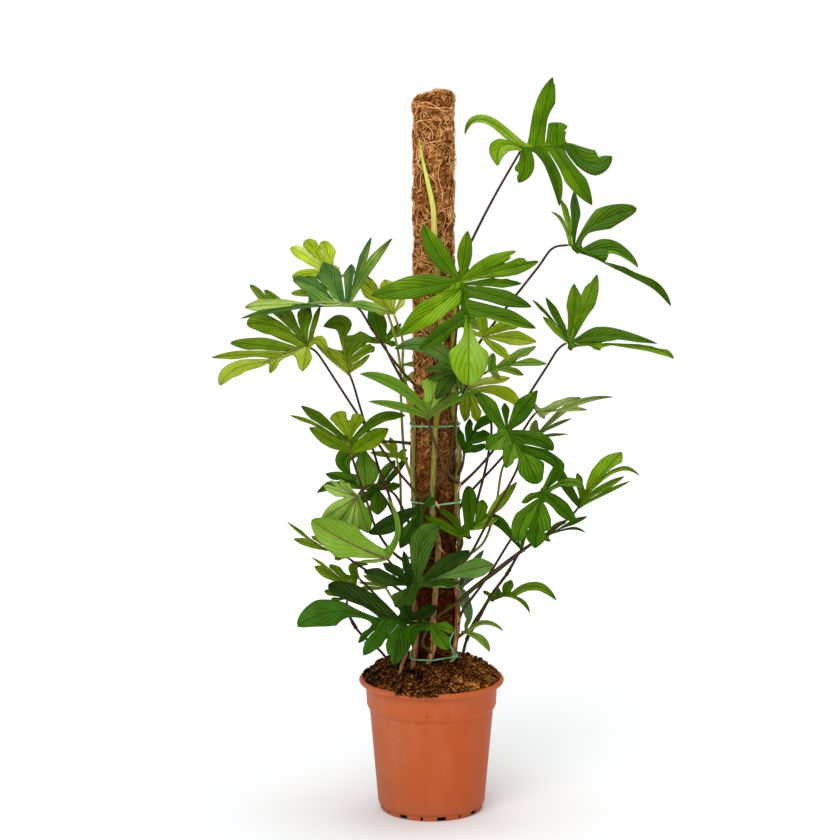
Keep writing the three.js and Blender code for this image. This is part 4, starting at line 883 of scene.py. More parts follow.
    ("back_right", "back", 350, [(32, 366, 62)],
     (45, 375, 74), (0.3, 0.5, 0.8), None, "dark",
     [(0, 26, 62, 312), (0, 14, 86, 438), (0, 12, 97, 408)],
     {"tint": -0.6}),
    ("veined_left", "left", 402, [(-70, 440, -45), (-93, 478, -66), (-100, 500, -73), (-120, 560, -78)],
     (-132, 600, -90), (0, -0.92, 0.4), (-136, 627), "olive",
     [(0, 24, -200, 642), (0.35, 10, -232, 662, 0, -184, 643), (0.7, 22, -213, 678), (1, 40, -157, 667),
      (0.9, 34, -116, 664), (0, 32, -70, 640), (0.7, 20, -42, 661, 0, -88, 654)],
     {"joined": [(3, 4, 0.72)], "rib": 1, 0: {"tint": 0.3}, 1: {"tint": 0.7}, 2: {"tint": -0.3},
      3: {"blunt": 0.45}, 4: {"blunt": 0.45}, 5: {"tint": 0.3}, 6: {"tint": -0.3}}),
    ("ovate_left", "left", 608, [(-48, 617, -20), (-80, 618, -15)],
     (-112, 607, -12), (0, -0.92, 0.38), None, "deep",
     [(0, 48, -107, 537), (0, 28, -132, 564, 0, -143, 590), (0, 12, -124, 622)],
     {"tint": 0.85}),
    ("pale_fan_left", "left", 455, [(-40, 490, -30), (-50, 512, -34), (-60, 530, -38), (-75, 541, -44),
      (-92, 547, -50), (-110, 542, -56)],
     (-122, 527, -62), (-0.3, -0.95, -0.1), None, "pale",
     [(0, 26, -181, 489), (0, 20, -177, 545), (0, 14, -166, 554), (0, 16, -151, 556), (0, 26, -158, 474),
      (0, 28, -132, 464), (0, 30, -103, 466)],
     {"joined": [(0, 4, 0.92), (4, 5, 0.92), (5, 6, 0.92), (1, 2, 0.7), (2, 3, 0.7)],
      1: {"torn": (1, 0.7, 0.6), "tint": 0.9}, 2: {"tint": 0.9}, 3: {"torn": (1, 0.7, 0.6), "tint": 0.9},
      4: {"tint": 0.2}, 5: {"tint": 0.8}, 6: {"tint": 0.2}}),
    ("hood_left", "left", 362, [(-50, 388, -50), (-60, 406, -75)],
     (-73, 423, -100), (-0.1, -0.97, 0.2), None, "pale",
     [(0, 58, -197, 488, 0, -136, 450), (0, 10, -118, 418), (0, 9, -75, 529, 0, -55, 474)],
     {0: {"blunt": 0.6, "tint": 0.4, "neck": (0.55, 0.5)}, 2: {"tint": 0.1}}),
    ("back_low_left", "left", 345, [(-70, 382, -20), (-110, 405, -30)],
     (-140, 426, -38), (0, -0.75, 0.66), (-178, 440), "olive",
     [(1, 14, -227, 456), (0.5, 24, -197, 461), (0.9, 8, -237, 482, 6, -208, 462), (0, 14, -150, 452),
      (0, 12, -160, 422)],
     {}),
    ("bottom_left", "left", 292, [(-45, 312, -14), (-72, 340, -5), (-100, 370, -2)],
     (-122, 392, 0), (0, -0.75, 0.66), (-148, 385), "young",
     [(0, 16, -103, 413, 0, -128, 410), (0.8, 18, -168, 413), (0.95, 8, -198, 424, 4, -168, 404),
      (1, 20, -193, 410), (0, 12, -130, 376)],
     {"tint": -0.1, 2: {"tint": 0.8}}),
    ("bottom_back_left", "low_back", 308, [(-139, 335, 0)],
     (-139, 356, -4), (0, -0.8, 0.6), None, "fresh",
     [(0, 20, -177, 369), (0, 10, -166, 355), (0, 14, -118, 372)],
     {}),
    ("front_low_left", "low_left", 288, [(-33, 306, -66)],
     (-36, 318, -80), (0.05, -0.75, 0.65), (-98, 321), "dark",
     [(0.45, 42, -170, 380), (0, 30, -46, 350), (0, 26, 10, 343), (1, 62, -221, 308, 0, -160, 334),
      (0.75, 18, -121, 280), (0.6, 36, -112, 259), (0.2, 40, -62, 242), (0, 20, -10, 300)],
     {"joined": [(4, 5, 0.45), (5, 6, 0.5), (0, 1, 0.3)], 0: {"blunt": 0.5},
      3: {"neck": (0.14, 0.5), "tint": 1.15, "blunt": 0.6}, 4: {"tint": 1},
      5: {"torn": (1, 0.75, 0.4), "tint": 1.1}, 6: {"torn": (1, 0.8, 0.4), "tint": 1}}),
    ("front_low", "left", 356, [(-30, 364, -72)],
     (-32, 378, -112), (0.05, -0.92, 0.38), (5, 390), "teal",
     [(1, 44, 102, 413), (0.5, 30, 63, 437), (0.2, 40, 14, 477, 0, -16, 450), (0, 16, -46, 436),
      (0, 22, -80, 416), (0, 28, -112, 402), (0, 38, -60, 341), (0.6, 26, 46, 381)],
     {"joined": [(0, 1, 0.55), (0, 7, 0.4)], 0: {"tint": 1.2, "torn": (1, 0.6, 0.3)}, 2: {"tint": 0.8},
      3: {"tint": 0.2}, 4: {"tint": 0.1}, 5: {"tint": 0.2}, 6: {"torn": (-1, 0.7, 0.4)}, 7: {"curled": 1}}),
    ("front_lowest", "front", 262, [(-14, 278, -64), (-10, 296, -82)],
     (0, 311, -96), (0, -0.7, 0.7), None, "deep",
     [(0, 32, 28, 268), (0, 22, 39, 300), (0, 24, -30, 274, 0, -30, 304), (0, 14, -20, 318)],
     {"joined": [(0, 1, 0.5), (0, 2, 0.4)], 0: {"torn": (-1, 0.7, 0.4)}}),
    ("pole_left", "left", 476, [(-26, 490, -46)],
     (-18, 506, -63), (0, -0.97, 0.24), None, "dark",
     [(0, 28, -52, 440), (0, 28, -103, 465, 0, -65, 482), (0, 18, 5, 525), (0, 18, -28, 445)],
     {}),
    ("inner_right", "right", 560, [(50, 578, -34)],
     (54, 602, -46), (0, -0.97, 0.25), (72, 640), "deep",
     [(0, 14, 44, 640), (0.4, 16, 62, 657), (1, 16, 104, 652, 0, 88, 654), (0, 14, 92, 613),
      (0.5, 24, 95, 632)],
     {}),
    ("young_left", "left", 440, [(-45, 460, 0), (-50, 510, 10), (-52, 565, 14)],
     (-58, 594, 16), (0, -0.85, 0.5), None, "young",
     [(0, 14, -68, 626), (0, 9, -88, 629), (0, 10, -101, 600), (0, 10, -40, 606), (0, 10, -38, 588)],
     {}),
    ("dark_left", "left", 446, [(-55, 480, 12), (-74, 520, 26)],
     (-88, 538, 28), (0, -0.85, 0.5), None, "deep",
     [(0, 22, -188, 533, 0, -140, 550), (0, 24, -60, 588), (0, 16, -38, 593), (0, 16, -50, 546),
      (0, 34, -88, 496), (0, 20, -141, 508), (0, 26, -174, 565)],
     {"tint": 0.7}),
    ("dark_right", "low_right", 398, [],
     (147, 438, -16), (0, -0.97, 0.25), None, "deep",
     [(0, 18, 65, 474, 0, 105, 488), (0, 12, 132, 484), (0, 22, 152, 480)],
     {}),
    ("bottom_yellow", "left", 310, [(-52, 338, 10), (-66, 358, 22)],
     (-76, 375, 26), (0, -0.8, 0.6), None, "young",
     [(0, 10, -113, 395), (0, 9, -121, 383), (0, 11, -122, 372), (0, 12, -60, 395)],
     {}),
    ("back_high", "back", 760, [(2, 800, 66), (8, 830, 84)],
     (20, 850, 100), (0.1, 0.75, 0.65), (22, 815), "deep",
     [(1, 40, 20, 745), (0.5, 28, -60, 790), (0.5, 28, 100, 795), (0, 24, -50, 860), (0, 24, 95, 870),
      (0, 18, -15, 900), (0, 18, 55, 905)],
     {}),
    ("back_mid", "back", 690, [(8, 715, 58)],
     (10, 740, 80), (0, 0.45, 0.89), (10, 729), "deep",
     [(1, 38, 12, 698), (0.5, 28, -45, 718), (0.5, 28, 75, 716), (0, 22, -50, 745), (0, 22, 85, 745)],
     {}),
    ("back_low", "back", 370, [(0, 395, 58)],
     (-5, 418, 78), (0, 0.45, 0.89), (-5, 407), "deep",
     [(1, 38, -8, 376), (0.5, 28, -65, 394), (0.5, 28, 60, 392), (0, 22, -60, 424), (0, 22, 58, 424)],
     {"tint": -0.4}),
]


def seen(x, z, depth):
    """The point that lines up with x and z on the pole's plane, so far behind that plane."""
    return SIGHT.lerp(Vector((x, 0, z)), (depth - SIGHT.y) / -SIGHT.y)


def clear_of_pole(point, radius):
    """The point, moved out of the pole so far that a stem of that radius stays outside it."""
    out = Vector((point.x - POLE_X * 1000, point.y, 0))
    least = STEM_CLEAR + radius
    if point.z > COIR_TOP * 1000 or out.length >= least:
        return point
    out.length = least
    return Vector((POLE_X * 1000 + out.x, out.y, point.z))


def through(points, spacing):
    """A smooth line through the points, with a point about every spacing."""
    ends = [points[0] * 2 - points[1]] + points + [points[-1] * 2 - points[-2]]
    line = []
    for p0, p1, p2, p3 in zip(ends, ends[1:], ends[2:], ends[3:]):
        gaps = [max((q - p).length, 1e-3) ** 0.5 for p, q in ((p0, p1), (p1, p2), (p2, p3))]
        leave = ((p1 - p0) / gaps[0] - (p2 - p0) / (gaps[0] + gaps[1])) * gaps[1] + (p2 - p1)
        reach = (p2 - p1) - ((p3 - p1) / (gaps[1] + gaps[2]) - (p3 - p2) / gaps[2]) * gaps[1]
        steps = max(1, round((p2 - p1).length / spacing))
        for i in range(steps):
            t = i / steps
            line.append(p1 + leave * t + (3 * (p2 - p1) - 2 * leave - reach) * t ** 2
                        + (2 * (p1 - p2) + leave + reach) * t ** 3)
    return line + [points[-1]]


stem_lines = {}
for name, (radius, points) in STEMS.items():
    foot = clear_of_pole(seen(*points[0]), radius)
    foot.z = on_mix(min(math.hypot(foot.x, foot.y) - radius, 110) / 1000) * 1000 - ROOTED
    rest = [clear_of_pole(seen(*p), radius) for p in points[1:]]
    stem_lines[name] = [clear_of_pole(p, radius) for p in through([foot] + rest, STEM_STEP)]


def on_stem(name, height):
    """The place on a stem at that height, where a stalk leaves it."""
    line = stem_lines[name]
    level = max(seen(0, height, line[1].y).z, LOWEST_STALK)
    return next((p for p in line if p.z > level), line[-1]).copy()


dice = random.Random(3)
petioles = {name: [] for name in STEMS}
for name, stem, foot, via, seat, *_ in LEAVES:
    bends = [on_stem(stem, foot)] + [seen(*p) for p in via] + [seen(*seat)]
    line = through(bends, STALK_STEP)
    line = [clear_of_pole(p, STALK_FOOT) if 3 < i < len(line) - 1 else p for i, p in enumerate(line)]
    widths = [STALK_FOOT + (STALK_TIP - STALK_FOOT) * i / (len(line) - 1) for i in range(len(line))]
    widths = [w * (1 + STALK_FLARE * math.exp(-i / 2.5)) for i, w in enumerate(widths)]
    kind = 2 if name in GREEN_STALKS else 1
    petioles[stem].append(([p * 0.001 for p in line], [w * 0.001 for w in widths], kind))

bark = Finish("stem_bark")
stem_height = bark.axis("Z")
bark_run = bark.grain(1, 5, bark.stretched(420, 420, 30))
young_bark = bark.shades(bark_run, (0.30, 62, 62, 18), (0.50, 112, 106, 44), (0.72, 170, 156, 90))
old_bark = bark.shades(bark_run, (0.30, 84, 48, 20), (0.50, 150, 98, 54), (0.72, 208, 158, 106))
aged = (stem_height + bark.grain(26, 3) * 0.30).step(0.66, 0.44)
green_bark = bark.shades(bark_run, (0.30, 96, 88, 12), (0.50, 150, 138, 34), (0.72, 196, 180, 74))
young_bark = bark.mix(stem_height.step(0.58, 0.70) * 0.7, young_bark, green_bark)
bark_color = bark.mix(aged, young_bark, old_bark)
scuffs = bark.grain(180, 4).step(0.60, 0.72)
bark_color = bark.mix(scuffs * 0.7, bark_color, srgb(92, 62, 36))
bark_skin = bark.bump(bark_run, 0.0006)
stem_bark = bark.paint(bark_color, 0.6, bark_skin, 0.15)

dark_stalk = Finish("petiole_dark")
run = dark_stalk.grain(1, 3, dark_stalk.stretched(300, 300, 22))
dark_color = dark_stalk.shades(run, (0.30, 30, 12, 4), (0.52, 58, 28, 10), (0.72, 92, 56, 20))
off_pole = abs(dark_stalk.axis("X") - POLE_X) + dark_stalk.grain(20, 2) * 0.05
low_down = dark_stalk.axis("Z").step(0.60, 0.48)
greener = off_pole.step(0.105, 0.045) * 0.4 + off_pole.step(0.18, 0.12) * low_down * 0.4
dark_color = dark_stalk.mix(greener, dark_color, srgb(68, 68, 12))
dark_petiole = dark_stalk.paint(dark_color, 0.45, dark_stalk.bump(run, 0.0002), 0.15)

green_stalk = Finish("petiole_green")
run = green_stalk.grain(1, 3, green_stalk.stretched(300, 300, 22))
green_color = green_stalk.shades(run, (0.30, 74, 84, 10), (0.52, 120, 128, 24), (0.72, 166, 160, 58))
green_petiole = green_stalk.paint(green_color, 0.45, green_stalk.bump(run, 0.0002), 0.15)

barks = [stem_bark, dark_petiole, green_petiole]
for name, (radius, points) in STEMS.items():
    line = stem_lines[name]
    widths = []
    walked = dice.uniform(0, NODE_EVERY)
    for before, p in zip(line[:1] + line, line):
        walked += (p - before).length
        to_node = abs((walked + NODE_EVERY / 2) % NODE_EVERY - NODE_EVERY / 2)
        ring = RING * math.exp(-(to_node / 2.6) ** 2) - WAIST * math.exp(-((to_node - 5.5) / 2) ** 2)
        widths.append(radius * (1 + ring + 0.04 * noise.noise(p * 0.05)) * 0.001)
    widths[-1] *= 0.7
    lines = [([p * 0.001 for p in line], widths, int(name in DARK_SHOOTS))] + petioles[name]
    stem_bm = strands("shoot_" + name, lines, barks, 10)
    piece("shoot_" + name, stem_bm, barks, ["stem_" + name], "stem")


# Sheath remains: tan papery scraps of old leaf sheaths, left curled on the stems at their joints. Each
# is where it lines up with the pole's plane, its depth, its length and width, and how far it leans.
SCRAPS = [(7, 520, -56, 13, 5, 0.5), (47, 552, -30, 22, 6, -0.4), (-34, 640, -36, 18, 5, 0.3),
          (39, 730, -40, 20, 5, -0.3), (12, 448, -56, 16, 5, 0.6), (45, 478, -30, 18, 6, 0.4),
          (-28, 330, -44, 18, 6, -0.5), (43, 330, -34, 16, 5, 0.3), (4, 300, -58, 14, 5, -0.6)]

papery = Finish("sheath_scrap")
paper_run = papery.grain(1, 3, papery.stretched(400, 400, 60))
paper_color = papery.shades(paper_run, (0.32, 140, 84, 46), (0.52, 196, 132, 84), (0.70, 226, 176, 132))
scrap_paper = papery.paint(paper_color, 0.7, papery.bump(paper_run, 0.0004), 0.1)
scraps_bm = bmesh.new()
for x, z, depth, length, width, lean in SCRAPS:
    scrap = bmesh.new()
    bmesh.ops.create_grid(scrap, x_segments=6, y_segments=4, size=1)
    foot = seen(x, z, depth)
    for v in scrap.verts:
        up = (v.co.x + 1) / 2
        round_by = v.co.y * 1.3 + up * 1.2
        half = width * 0.5 * math.sin(math.pi * (0.15 + up * 0.8))
        v.co = foot + Vector((half * math.sin(round_by) + lean * length * up ** 2,
                              -half * math.cos(round_by) - 2 * up, -length * up))
        v.co *= 0.001
    bmesh.ops.solidify(scrap, geom=scrap.faces[:], thickness=0.0004)
    join(scraps_bm, scrap)
piece("sheath_scraps", scraps_bm, [scrap_paper], (), "stem")


# Ties: soft green garden wire wound once round the pole and the stems, and knotted in front.
TIE_R = 0.00125
TIES = {
    "upper": (0.651, ("left", "right")),
    "middle": (0.524, ("left", "front", "right")),
    "lower": (0.266, ("left", "front", "right")),
}
KNOT_X = 0.028
TIE_POINTS = 96
TIE_SLOPE = 0.0016
COIL_R = 0.0022

tie_green = Finish("tie_plastic")
tie_tone = tie_green.grain(220, 3)
tie_color = tie_green.shades(tie_tone, (0.35, 84, 182, 122), (0.65, 138, 220, 168))
tie_wire = tie_green.paint(tie_color, 0.34, tie_green.bump(tie_tone, 0.0002), 0.4)


def wound(height, held):
    """A loop drawn tight round the pole and the stems that it holds."""
    discs = [(POLE_X, 0, COIR_R + 0.0018)]
    for name in held:
        line = stem_lines[name]
        p = min(line, key=lambda q: abs(q.z - height * 1000)) * 0.001
        discs.append((p.x, p.y, STEMS[name][0] * 0.001 + 0.0005))
    points = []
    for i in range(TIE_POINTS):
        turn = i / TIE_POINTS * 2 * math.pi
        u = (math.cos(turn), math.sin(turn))
        x, y, r = max(discs, key=lambda d: d[0] * u[0] + d[1] * u[1] + d[2])
        r += TIE_R
        z = height + TIE_SLOPE * math.sin(turn * 2 + 1)
        points.append(Vector((x + u[0] * r, y + u[1] * r, z)))
    return [p for i, p in enumerate(points) if (p - points[i - 1]).length > 0.0004]


for name, (height, held) in TIES.items():
    loop = wound(height, held)
    tie_bm = strands("tie_" + name, [(loop, [TIE_R] * len(loop), 0)], [tie_wire], 8, closed=True)
    extras = []
    front = min((p for p in loop if p.y < 0), key=lambda p: abs(p.x - KNOT_X))
    if name == "lower":
        rise = [seen(30, 282, -50) * 0.001, seen(38, 302, -50) * 0.001]
        extras.append(through([seen(32, 249, -52) * 0.001, front] + rise, 0.003))
        coil = [front + Vector((-0.004 + 0.0008 * i, -COIL_R * math.cos(i), COIL_R * math.sin(i)))
                for i in range(11)]
        extras.append(coil)
    for extra in extras:
        end_bm = strands("tie_end", [(extra, [TIE_R * 0.9] * len(extra), 0)], [tie_wire], 8)
        join(tie_bm, end_bm)
    piece("wire_tie_" + name, tie_bm, [tie_wire], ["tie_" + name], "tie")


# Leaves: each blade is cut into long lobes that spread from its rib or from the top of its stalk. The
# upper side is a deep glossy green with veins that run forward along the lobes, and the underside is
# pale and matt with raised ribs.
REACH = 130.0
EDGE_AIM = 0.45
FREE = 12.0
BLADE = 0.0006
BASAL_RADII = (4, 7)
SINUS_RADII = (9, 13, 18)
NOTCH_OUT = 1.3
SWINGS = (0, 0.25, -0.25, 0.5, -0.5, 0.8, -0.8)
VEINS_ACROSS = 3.2
VEINS_ALONG = 42
ARCH = 0.06
ROOM = 0.92
LEAST_HALF = 1.2
TROUGH = 0.14
TORN_LENGTH = 0.22
NOTCH_REACH = 0.42
PUFF = 0.10
SHOULDER_END = 0.28
ROLLED = 0.45
MOST_ROLLED = 2.9


def shown(p, q, r, facing):
    """Above 0 where p, q and r turn the right way, seen from the blade's upper side."""
    return (q - p).cross(r - p).dot(facing)


class Lobe:
    """A lobe of a leaf: a curved midrib from its root to its tip, and its width along it."""

    def __init__(self, leaf, looks, share, width, x, z, out=0, bend_x=None, bend_z=None):
        self.looks = looks
        self.share = share
        self.half = width / 2
        self.facing = leaf.facing
        self.root = leaf.seat.lerp(leaf.rib_end, share)
        self.tip = leaf.on_blade(x, z) + leaf.facing * out
        middle = self.root.lerp(self.tip, 0.5)
        self.length = (self.tip - self.root).length
        self.pull = middle + leaf.facing * self.length * ARCH
        if bend_x is not None:
            self.pull = leaf.on_blade(bend_x, bend_z) * 2 - middle
        self.aim = (self.pull - self.root).normalized()
        self.line = [self.at(i / 12) for i in range(13)]

    def at(self, f):
        return self.root * (1 - f) ** 2 + self.pull * 2 * f * (1 - f) + self.tip * f * f

    def across(self, f):
        heading = (self.pull - self.root) * (1 - f) + (self.tip - self.pull) * f
        return heading.cross(self.facing).normalized()

    def wide(self, f, turn):
        """Half-width along the lobe, with its neck, its blunt end and its torn notch."""
        if f < 0.5:
            share = 0.62 + 0.38 * math.sin(math.pi * f)
        else:
            share = max(0, math.cos(math.pi * (f - 0.5))) ** self.looks.get("blunt", 0.75)
        neck, neck_end = self.looks.get("neck", (1, 0.5))
        share *= neck + (1 - neck) * min(1, f / neck_end) ** 2.4
        side, at, depth = self.looks.get("torn", (0, 1, 0))
        if side == turn and f > at:
            share *= 1 - depth * max(0, 1 - (f - at) / TORN_LENGTH)
        return self.half * share

    def edge(self, f, turn, neighbour):
        middle = self.at(f)
        room = ROOM * min((p - middle).length for p in neighbour.line)
        room *= self.half / (self.half + neighbour.half)
        half = min(self.wide(f, turn), max(room, LEAST_HALF))
        return middle + self.across(f) * turn * half + self.facing * half * TROUGH


class Leaf:
    """A leaf's lobes in order round its blade, with the notches between them."""

    def __init__(self, seat, facing, rib_end, lobes, looks):
        self.seat = seen(*seat)
        self.facing = Vector(facing).normalized()
        self.rib_end = self.on_blade(*rib_end) if rib_end else self.seat.copy()
        made = [Lobe(self, looks.get(i, {}), *lobe) for i, lobe in enumerate(lobes)]
        self.joined = {frozenset((made[a], made[b])): reach for a, b, reach in looks.get("joined", ())}
        self.along = ((self.rib_end if rib_end else made[0].tip) - self.seat).normalized()
        end = next(lobe for lobe in made if lobe.share == 1) if rib_end else made[0]
        rest = [lobe for lobe in made if lobe is not end]
        turns = {lobe: self.turn_of(lobe.aim) for lobe in rest}
        before = sorted((lobe for lobe in rest if turns[lobe] < 0), key=lambda q: (q.share, turns[q]))
        after = sorted((lobe for lobe in rest if turns[lobe] >= 0), key=lambda q: (-q.share, turns[q]))
        self.lobes = before + [end] + after
        self.notches = [self.notch(a, b) for a, b in zip(self.lobes, self.lobes[1:])]
        self.notches.append(self.notch(self.lobes[-1], self.lobes[0], True))

    def on_blade(self, x, z):
        """Where the line of sight through x, z meets the blade, kept within reach of its seat."""
        ray = Vector((x, 0, z)) - SIGHT
        t = (self.seat - SIGHT).dot(self.facing) / ray.dot(self.facing)
        depth = min(max(SIGHT.y + ray.y * t, self.seat.y - REACH), self.seat.y + REACH)
        return seen(x, z, depth)

    def turn_of(self, v):
        return math.atan2(v.cross(self.along).dot(self.facing), v.dot(self.along))

    def notch(self, a, b, basal=False):
        """Where the cut between two neighbouring lobes ends."""
        if frozenset((a, b)) in self.joined:
            reach = self.joined[frozenset((a, b))] * min(a.length, b.length)
            return a.at(reach / a.length).lerp(b.at(reach / b.length), 0.5)
        reach = NOTCH_REACH * min(a.length, b.length)
        edge_a = a.edge(EDGE_AIM, 1, b)
        edge_b = b.edge(EDGE_AIM, -1, a)
        start = self.turn_of(edge_a - a.root)
        between = (self.turn_of(edge_b - b.root) - start) % (2 * math.pi)
        if not basal and between > math.pi:
            between -= 2 * math.pi
        side = self.along.cross(self.facing).normalized()
        foot = a.root.lerp(b.root, 0.5)
        best = None
        most = -math.inf
        for r in BASAL_RADII if basal else (min(6, reach),) + SINUS_RADII:
            apart = (a.at(r / a.length) - b.at(r / b.length)).length > 0.55 * (a.half + b.half)
            for swing in SWINGS:
                turn = start + between / 2 + swing
                n = foot + self.along * r * math.cos(turn) + side * r * math.sin(turn)
                room = [shown(a.root, n, edge_a, self.facing), shown(b.root, edge_b, n, self.facing)]
                if a.share != b.share:
                    room.append(shown(a.root, b.root, n, self.facing))
                fit = min(min(room) / (n - foot).length, FREE) + (FREE if apart else 0)
                fit = fit - 0.1 * r - abs(swing)
                if r <= reach + 4 and fit > most:
                    best = n
                    most = fit
        if basal:
            return best
        return foot + (best - foot) * NOTCH_OUT


def patch(bm, leaf, steps, wide, place):
    """A grid laid on the leaf by place, which gives each spot of it a point, its uv, margin, and tint with
    painted light and shade.
    """
    uv = bm.loops.layers.uv["Lobe"]
    margin = bm.verts.layers.float["margin"]
    tint = bm.verts.layers.float["tint"]
    grid = bmesh.ops.create_grid(bm, x_segments=steps, y_segments=wide, size=1)["verts"]
    uvs = {}
    for v in grid:
        s = (v.co.x + 1) / 2
        w = (v.co.y + 1) / 2
        point, uvs[v], v[tint] = place(s, w)
        v[margin] = w
        v.co = point * 0.001
    faces = {f for v in grid for f in v.link_faces}
    for f in faces:
        f.normal_update()
        for loop in f.loops:
            loop[uv].uv = uvs[loop.vert]
    if sum(f.normal.dot(leaf.facing) * f.calc_area() for f in faces) < 0:
        bmesh.ops.reverse_faces(bm, faces=list(faces))


def half_lobe(bm, leaf, lobe, neighbour, notch, turn, look):
    """One side of a lobe, from its midrib to its margin, with a puffed blade and a waving margin."""
    curled = lobe.looks.get("curled") == turn
    steps = 22 if lobe.half > 12 else 15 if lobe.half > 7 else 10
    wide = 9 if curled else 5 if lobe.half > 10 else 4
    start = (notch - lobe.root).dot(lobe.tip - lobe.root) / lobe.length ** 2
    start = min(max(start, 0), 0.85)
    twist, waves, phase, tint = look

    def place(s, w):
        s = s * 0.5 + math.sin(s * math.pi / 2) * 0.5
        centre = lobe.at(s)
        full = lobe.edge(start + (1 - start) * s, turn, neighbour)
        edge = notch.lerp(full, min(1, s / SHOULDER_END) ** 0.7) if s < SHOULDER_END else full
        across = (edge - centre).length
        settle = min(1, s * 4)
        rise = PUFF * math.sin(math.pi * w) * min(across, lobe.half * 1.2)
        rise += settle * w * across * twist * turn * s
        ripple = math.sin(waves * s * 2 * math.pi + phase) * w ** 3 * settle * (1 - s ** 4)
        rise += ripple * min(0.10 * lobe.half, 1.6)
        reach = w
        flat = 1 - ROLLED * settle
        if curled and w > flat:
            round_by = 0.17 + 0.05 * math.sin(waves * 5 * s + phase)
            roll = min((w - flat) / round_by, MOST_ROLLED)
            reach = flat + round_by * math.sin(roll)
            rise += round_by * (1 - math.cos(roll)) * across
        point = centre.lerp(edge, reach) + lobe.facing * rise
        return point, (s * lobe.length * 0.001, turn * w * across * 0.001), tint

    patch(bm, leaf, steps, wide, place)


def web_patch(bm, leaf, a, b, notch, tint):
    """The part of the blade between two places on the rib and a notch."""
    def place(s, w):
        root = a.lerp(b, s)
        rise = PUFF * math.sin(math.pi * w) * (notch - root).length
        spot = root.lerp(notch, w) + leaf.facing * rise
        return spot, ((root - leaf.seat).length * 0.001, w * (notch - root).length * 0.001), tint

    patch(bm, leaf, 3, 5, place)


def blade_skin(name, colors, roughness, shine, depth, streak, glint):
    """A leaf's surface: cloudy greens, veins that run forward along each lobe, and a paler margin, with
    painted sheen and shade from each lobe's tint and light.
    """
    low, mid, high, sheen, vein = [srgb(*color) for color in colors]
    skin = Finish(name)
    lobe_place = skin.add("UVMap", {"uv_map": "Lobe"}, {}, "UV")
    along = skin.axis("X", lobe_place)
    aside = abs(skin.axis("Y", lobe_place))
    margin = skin.add("Attribute", {"attribute_name": "margin"}, {}, "Fac")
    tint = skin.add("Attribute", {"attribute_name": "tint"}, {}, "Fac")
    wobble = skin.grain(60, 2) * 0.5
    flow = margin * VEINS_ACROSS - along * VEINS_ALONG + wobble
    comb = skin.add("Math", {"operation": "PINGPONG"}, {0: flow, 1: 0.5}) * 2
    veins = 1 - comb.step(0.02, 0.36)
    fine = 1 - (skin.add("Math", {"operation": "PINGPONG"}, {0: flow * 5, 1: 0.5}) * 2).step(0, 0.5)
    midrib = 1 - aside.step(0.0003, 0.0011)
    clouds = skin.grain(20, 2) * 0.56 + tint * 0.44
    # The top stop is a painted sheen, reached where the tint and light is high.
    green = skin.ramp(clouds, (0.22, low), (0.48, mid), (0.70, high), (0.92, sheen))
    green = skin.mix(veins * (1 - clouds.step(0.58, 0.85) * 0.8) * streak, green, vein)
    green = skin.mix(fine * 0.07, green, vein)
    green = skin.mix(midrib * 0.7, green, vein)
    green = skin.mix(margin.step(0.95, 1.0) * 0.25, green, high)
    relief = skin.bump(comb.step(0.0, 0.75) * (1 - midrib), depth)
    relief = skin.bump(skin.grain(500, 3), 0.00012, relief)
    rough = skin.grain(90, 3) * 0.16 + roughness
    return skin.paint(green, rough, relief, shine, specular_tint=glint)


# Each tone is its finish's name, its darkest, middle and bright green, a painted sheen, its veins and, for
# an upper side, its gloss.
uppers = {
    "fresh": ("fresh_upper", (44, 80, 0), (74, 112, 0), (112, 148, 8), (132, 168, 66), (26, 56, 0), 0.12),
    "deep": ("deep_upper", (28, 66, 0), (48, 90, 0), (84, 126, 14), (110, 148, 50), (14, 42, 0), 0.12),
    "dark": ("dark_upper", (12, 34, 2), (26, 54, 4), (46, 88, 8), (62, 118, 22), (6, 22, 0), 0.15),
    "teal": ("teal_upper", (16, 42, 2), (32, 64, 8), (66, 102, 28), (104, 138, 68), (8, 26, 0), 0.16),
    "bluish": ("bluish_upper", (34, 74, 16), (62, 104, 34), (114, 148, 48), (162, 184, 88), (20, 52, 10),
               0.16),
    "grey": ("grey_upper", (76, 100, 24), (112, 134, 48), (158, 178, 94), (186, 198, 128), (46, 70, 12),
             0.16),
    "olive": ("olive_upper", (62, 92, 0), (96, 124, 2), (136, 154, 26), (164, 180, 76), (38, 66, 0), 0.12),
    "young": ("young_upper", (98, 128, 0), (134, 160, 6), (168, 186, 40), (190, 204, 96), (66, 96, 0), 0.12),
    "pale": ("pale_upper", (44, 84, 2), (72, 112, 6), (108, 148, 30), (140, 172, 74), (28, 60, 2), 0.12),
}
unders = {
    "fresh": ("fresh_under", (84, 126, 22), (118, 154, 46), (152, 184, 82), (178, 200, 120), (74, 112, 26)),
    "dark": ("dark_under", (72, 110, 38), (94, 132, 56), (126, 160, 84), (150, 178, 116), (60, 94, 30)),
    # Young undersides are painted brighter, as light shining through the leaf from behind.
    "young": ("young_under", (120, 152, 0), (154, 180, 8), (184, 202, 50), (206, 218, 110), (92, 120, 0)),
}
skins = {}
for tone, (name, *colors, shine) in uppers.items():
    skins[tone] = blade_skin(name, colors, 0.36, shine, 0.0008, 0.72, (0.85, 1, 0.3, 1))
for tone, (name, *colors) in unders.items():
    skins["under_" + tone] = blade_skin(name, colors, 0.5, 0.12, 0.0005, 0.42, (0.85, 1, 0.4, 1))
under_of = {"fresh": "fresh", "deep": "fresh", "dark": "dark", "teal": "dark", "grey": "dark",
            "bluish": "dark", "olive": "fresh", "young": "young", "pale": "fresh"}


def rib_finish(name, low, high):
    """The finish of a leaf's ribs, from its darker to its lighter colour."""
    rib = Finish(name)
    tone = rib.grain(140, 3)
    return rib.paint(rib.shades(tone, (0.35, *low), (0.65, *high)), 0.4, rib.bump(tone, 0.0002))


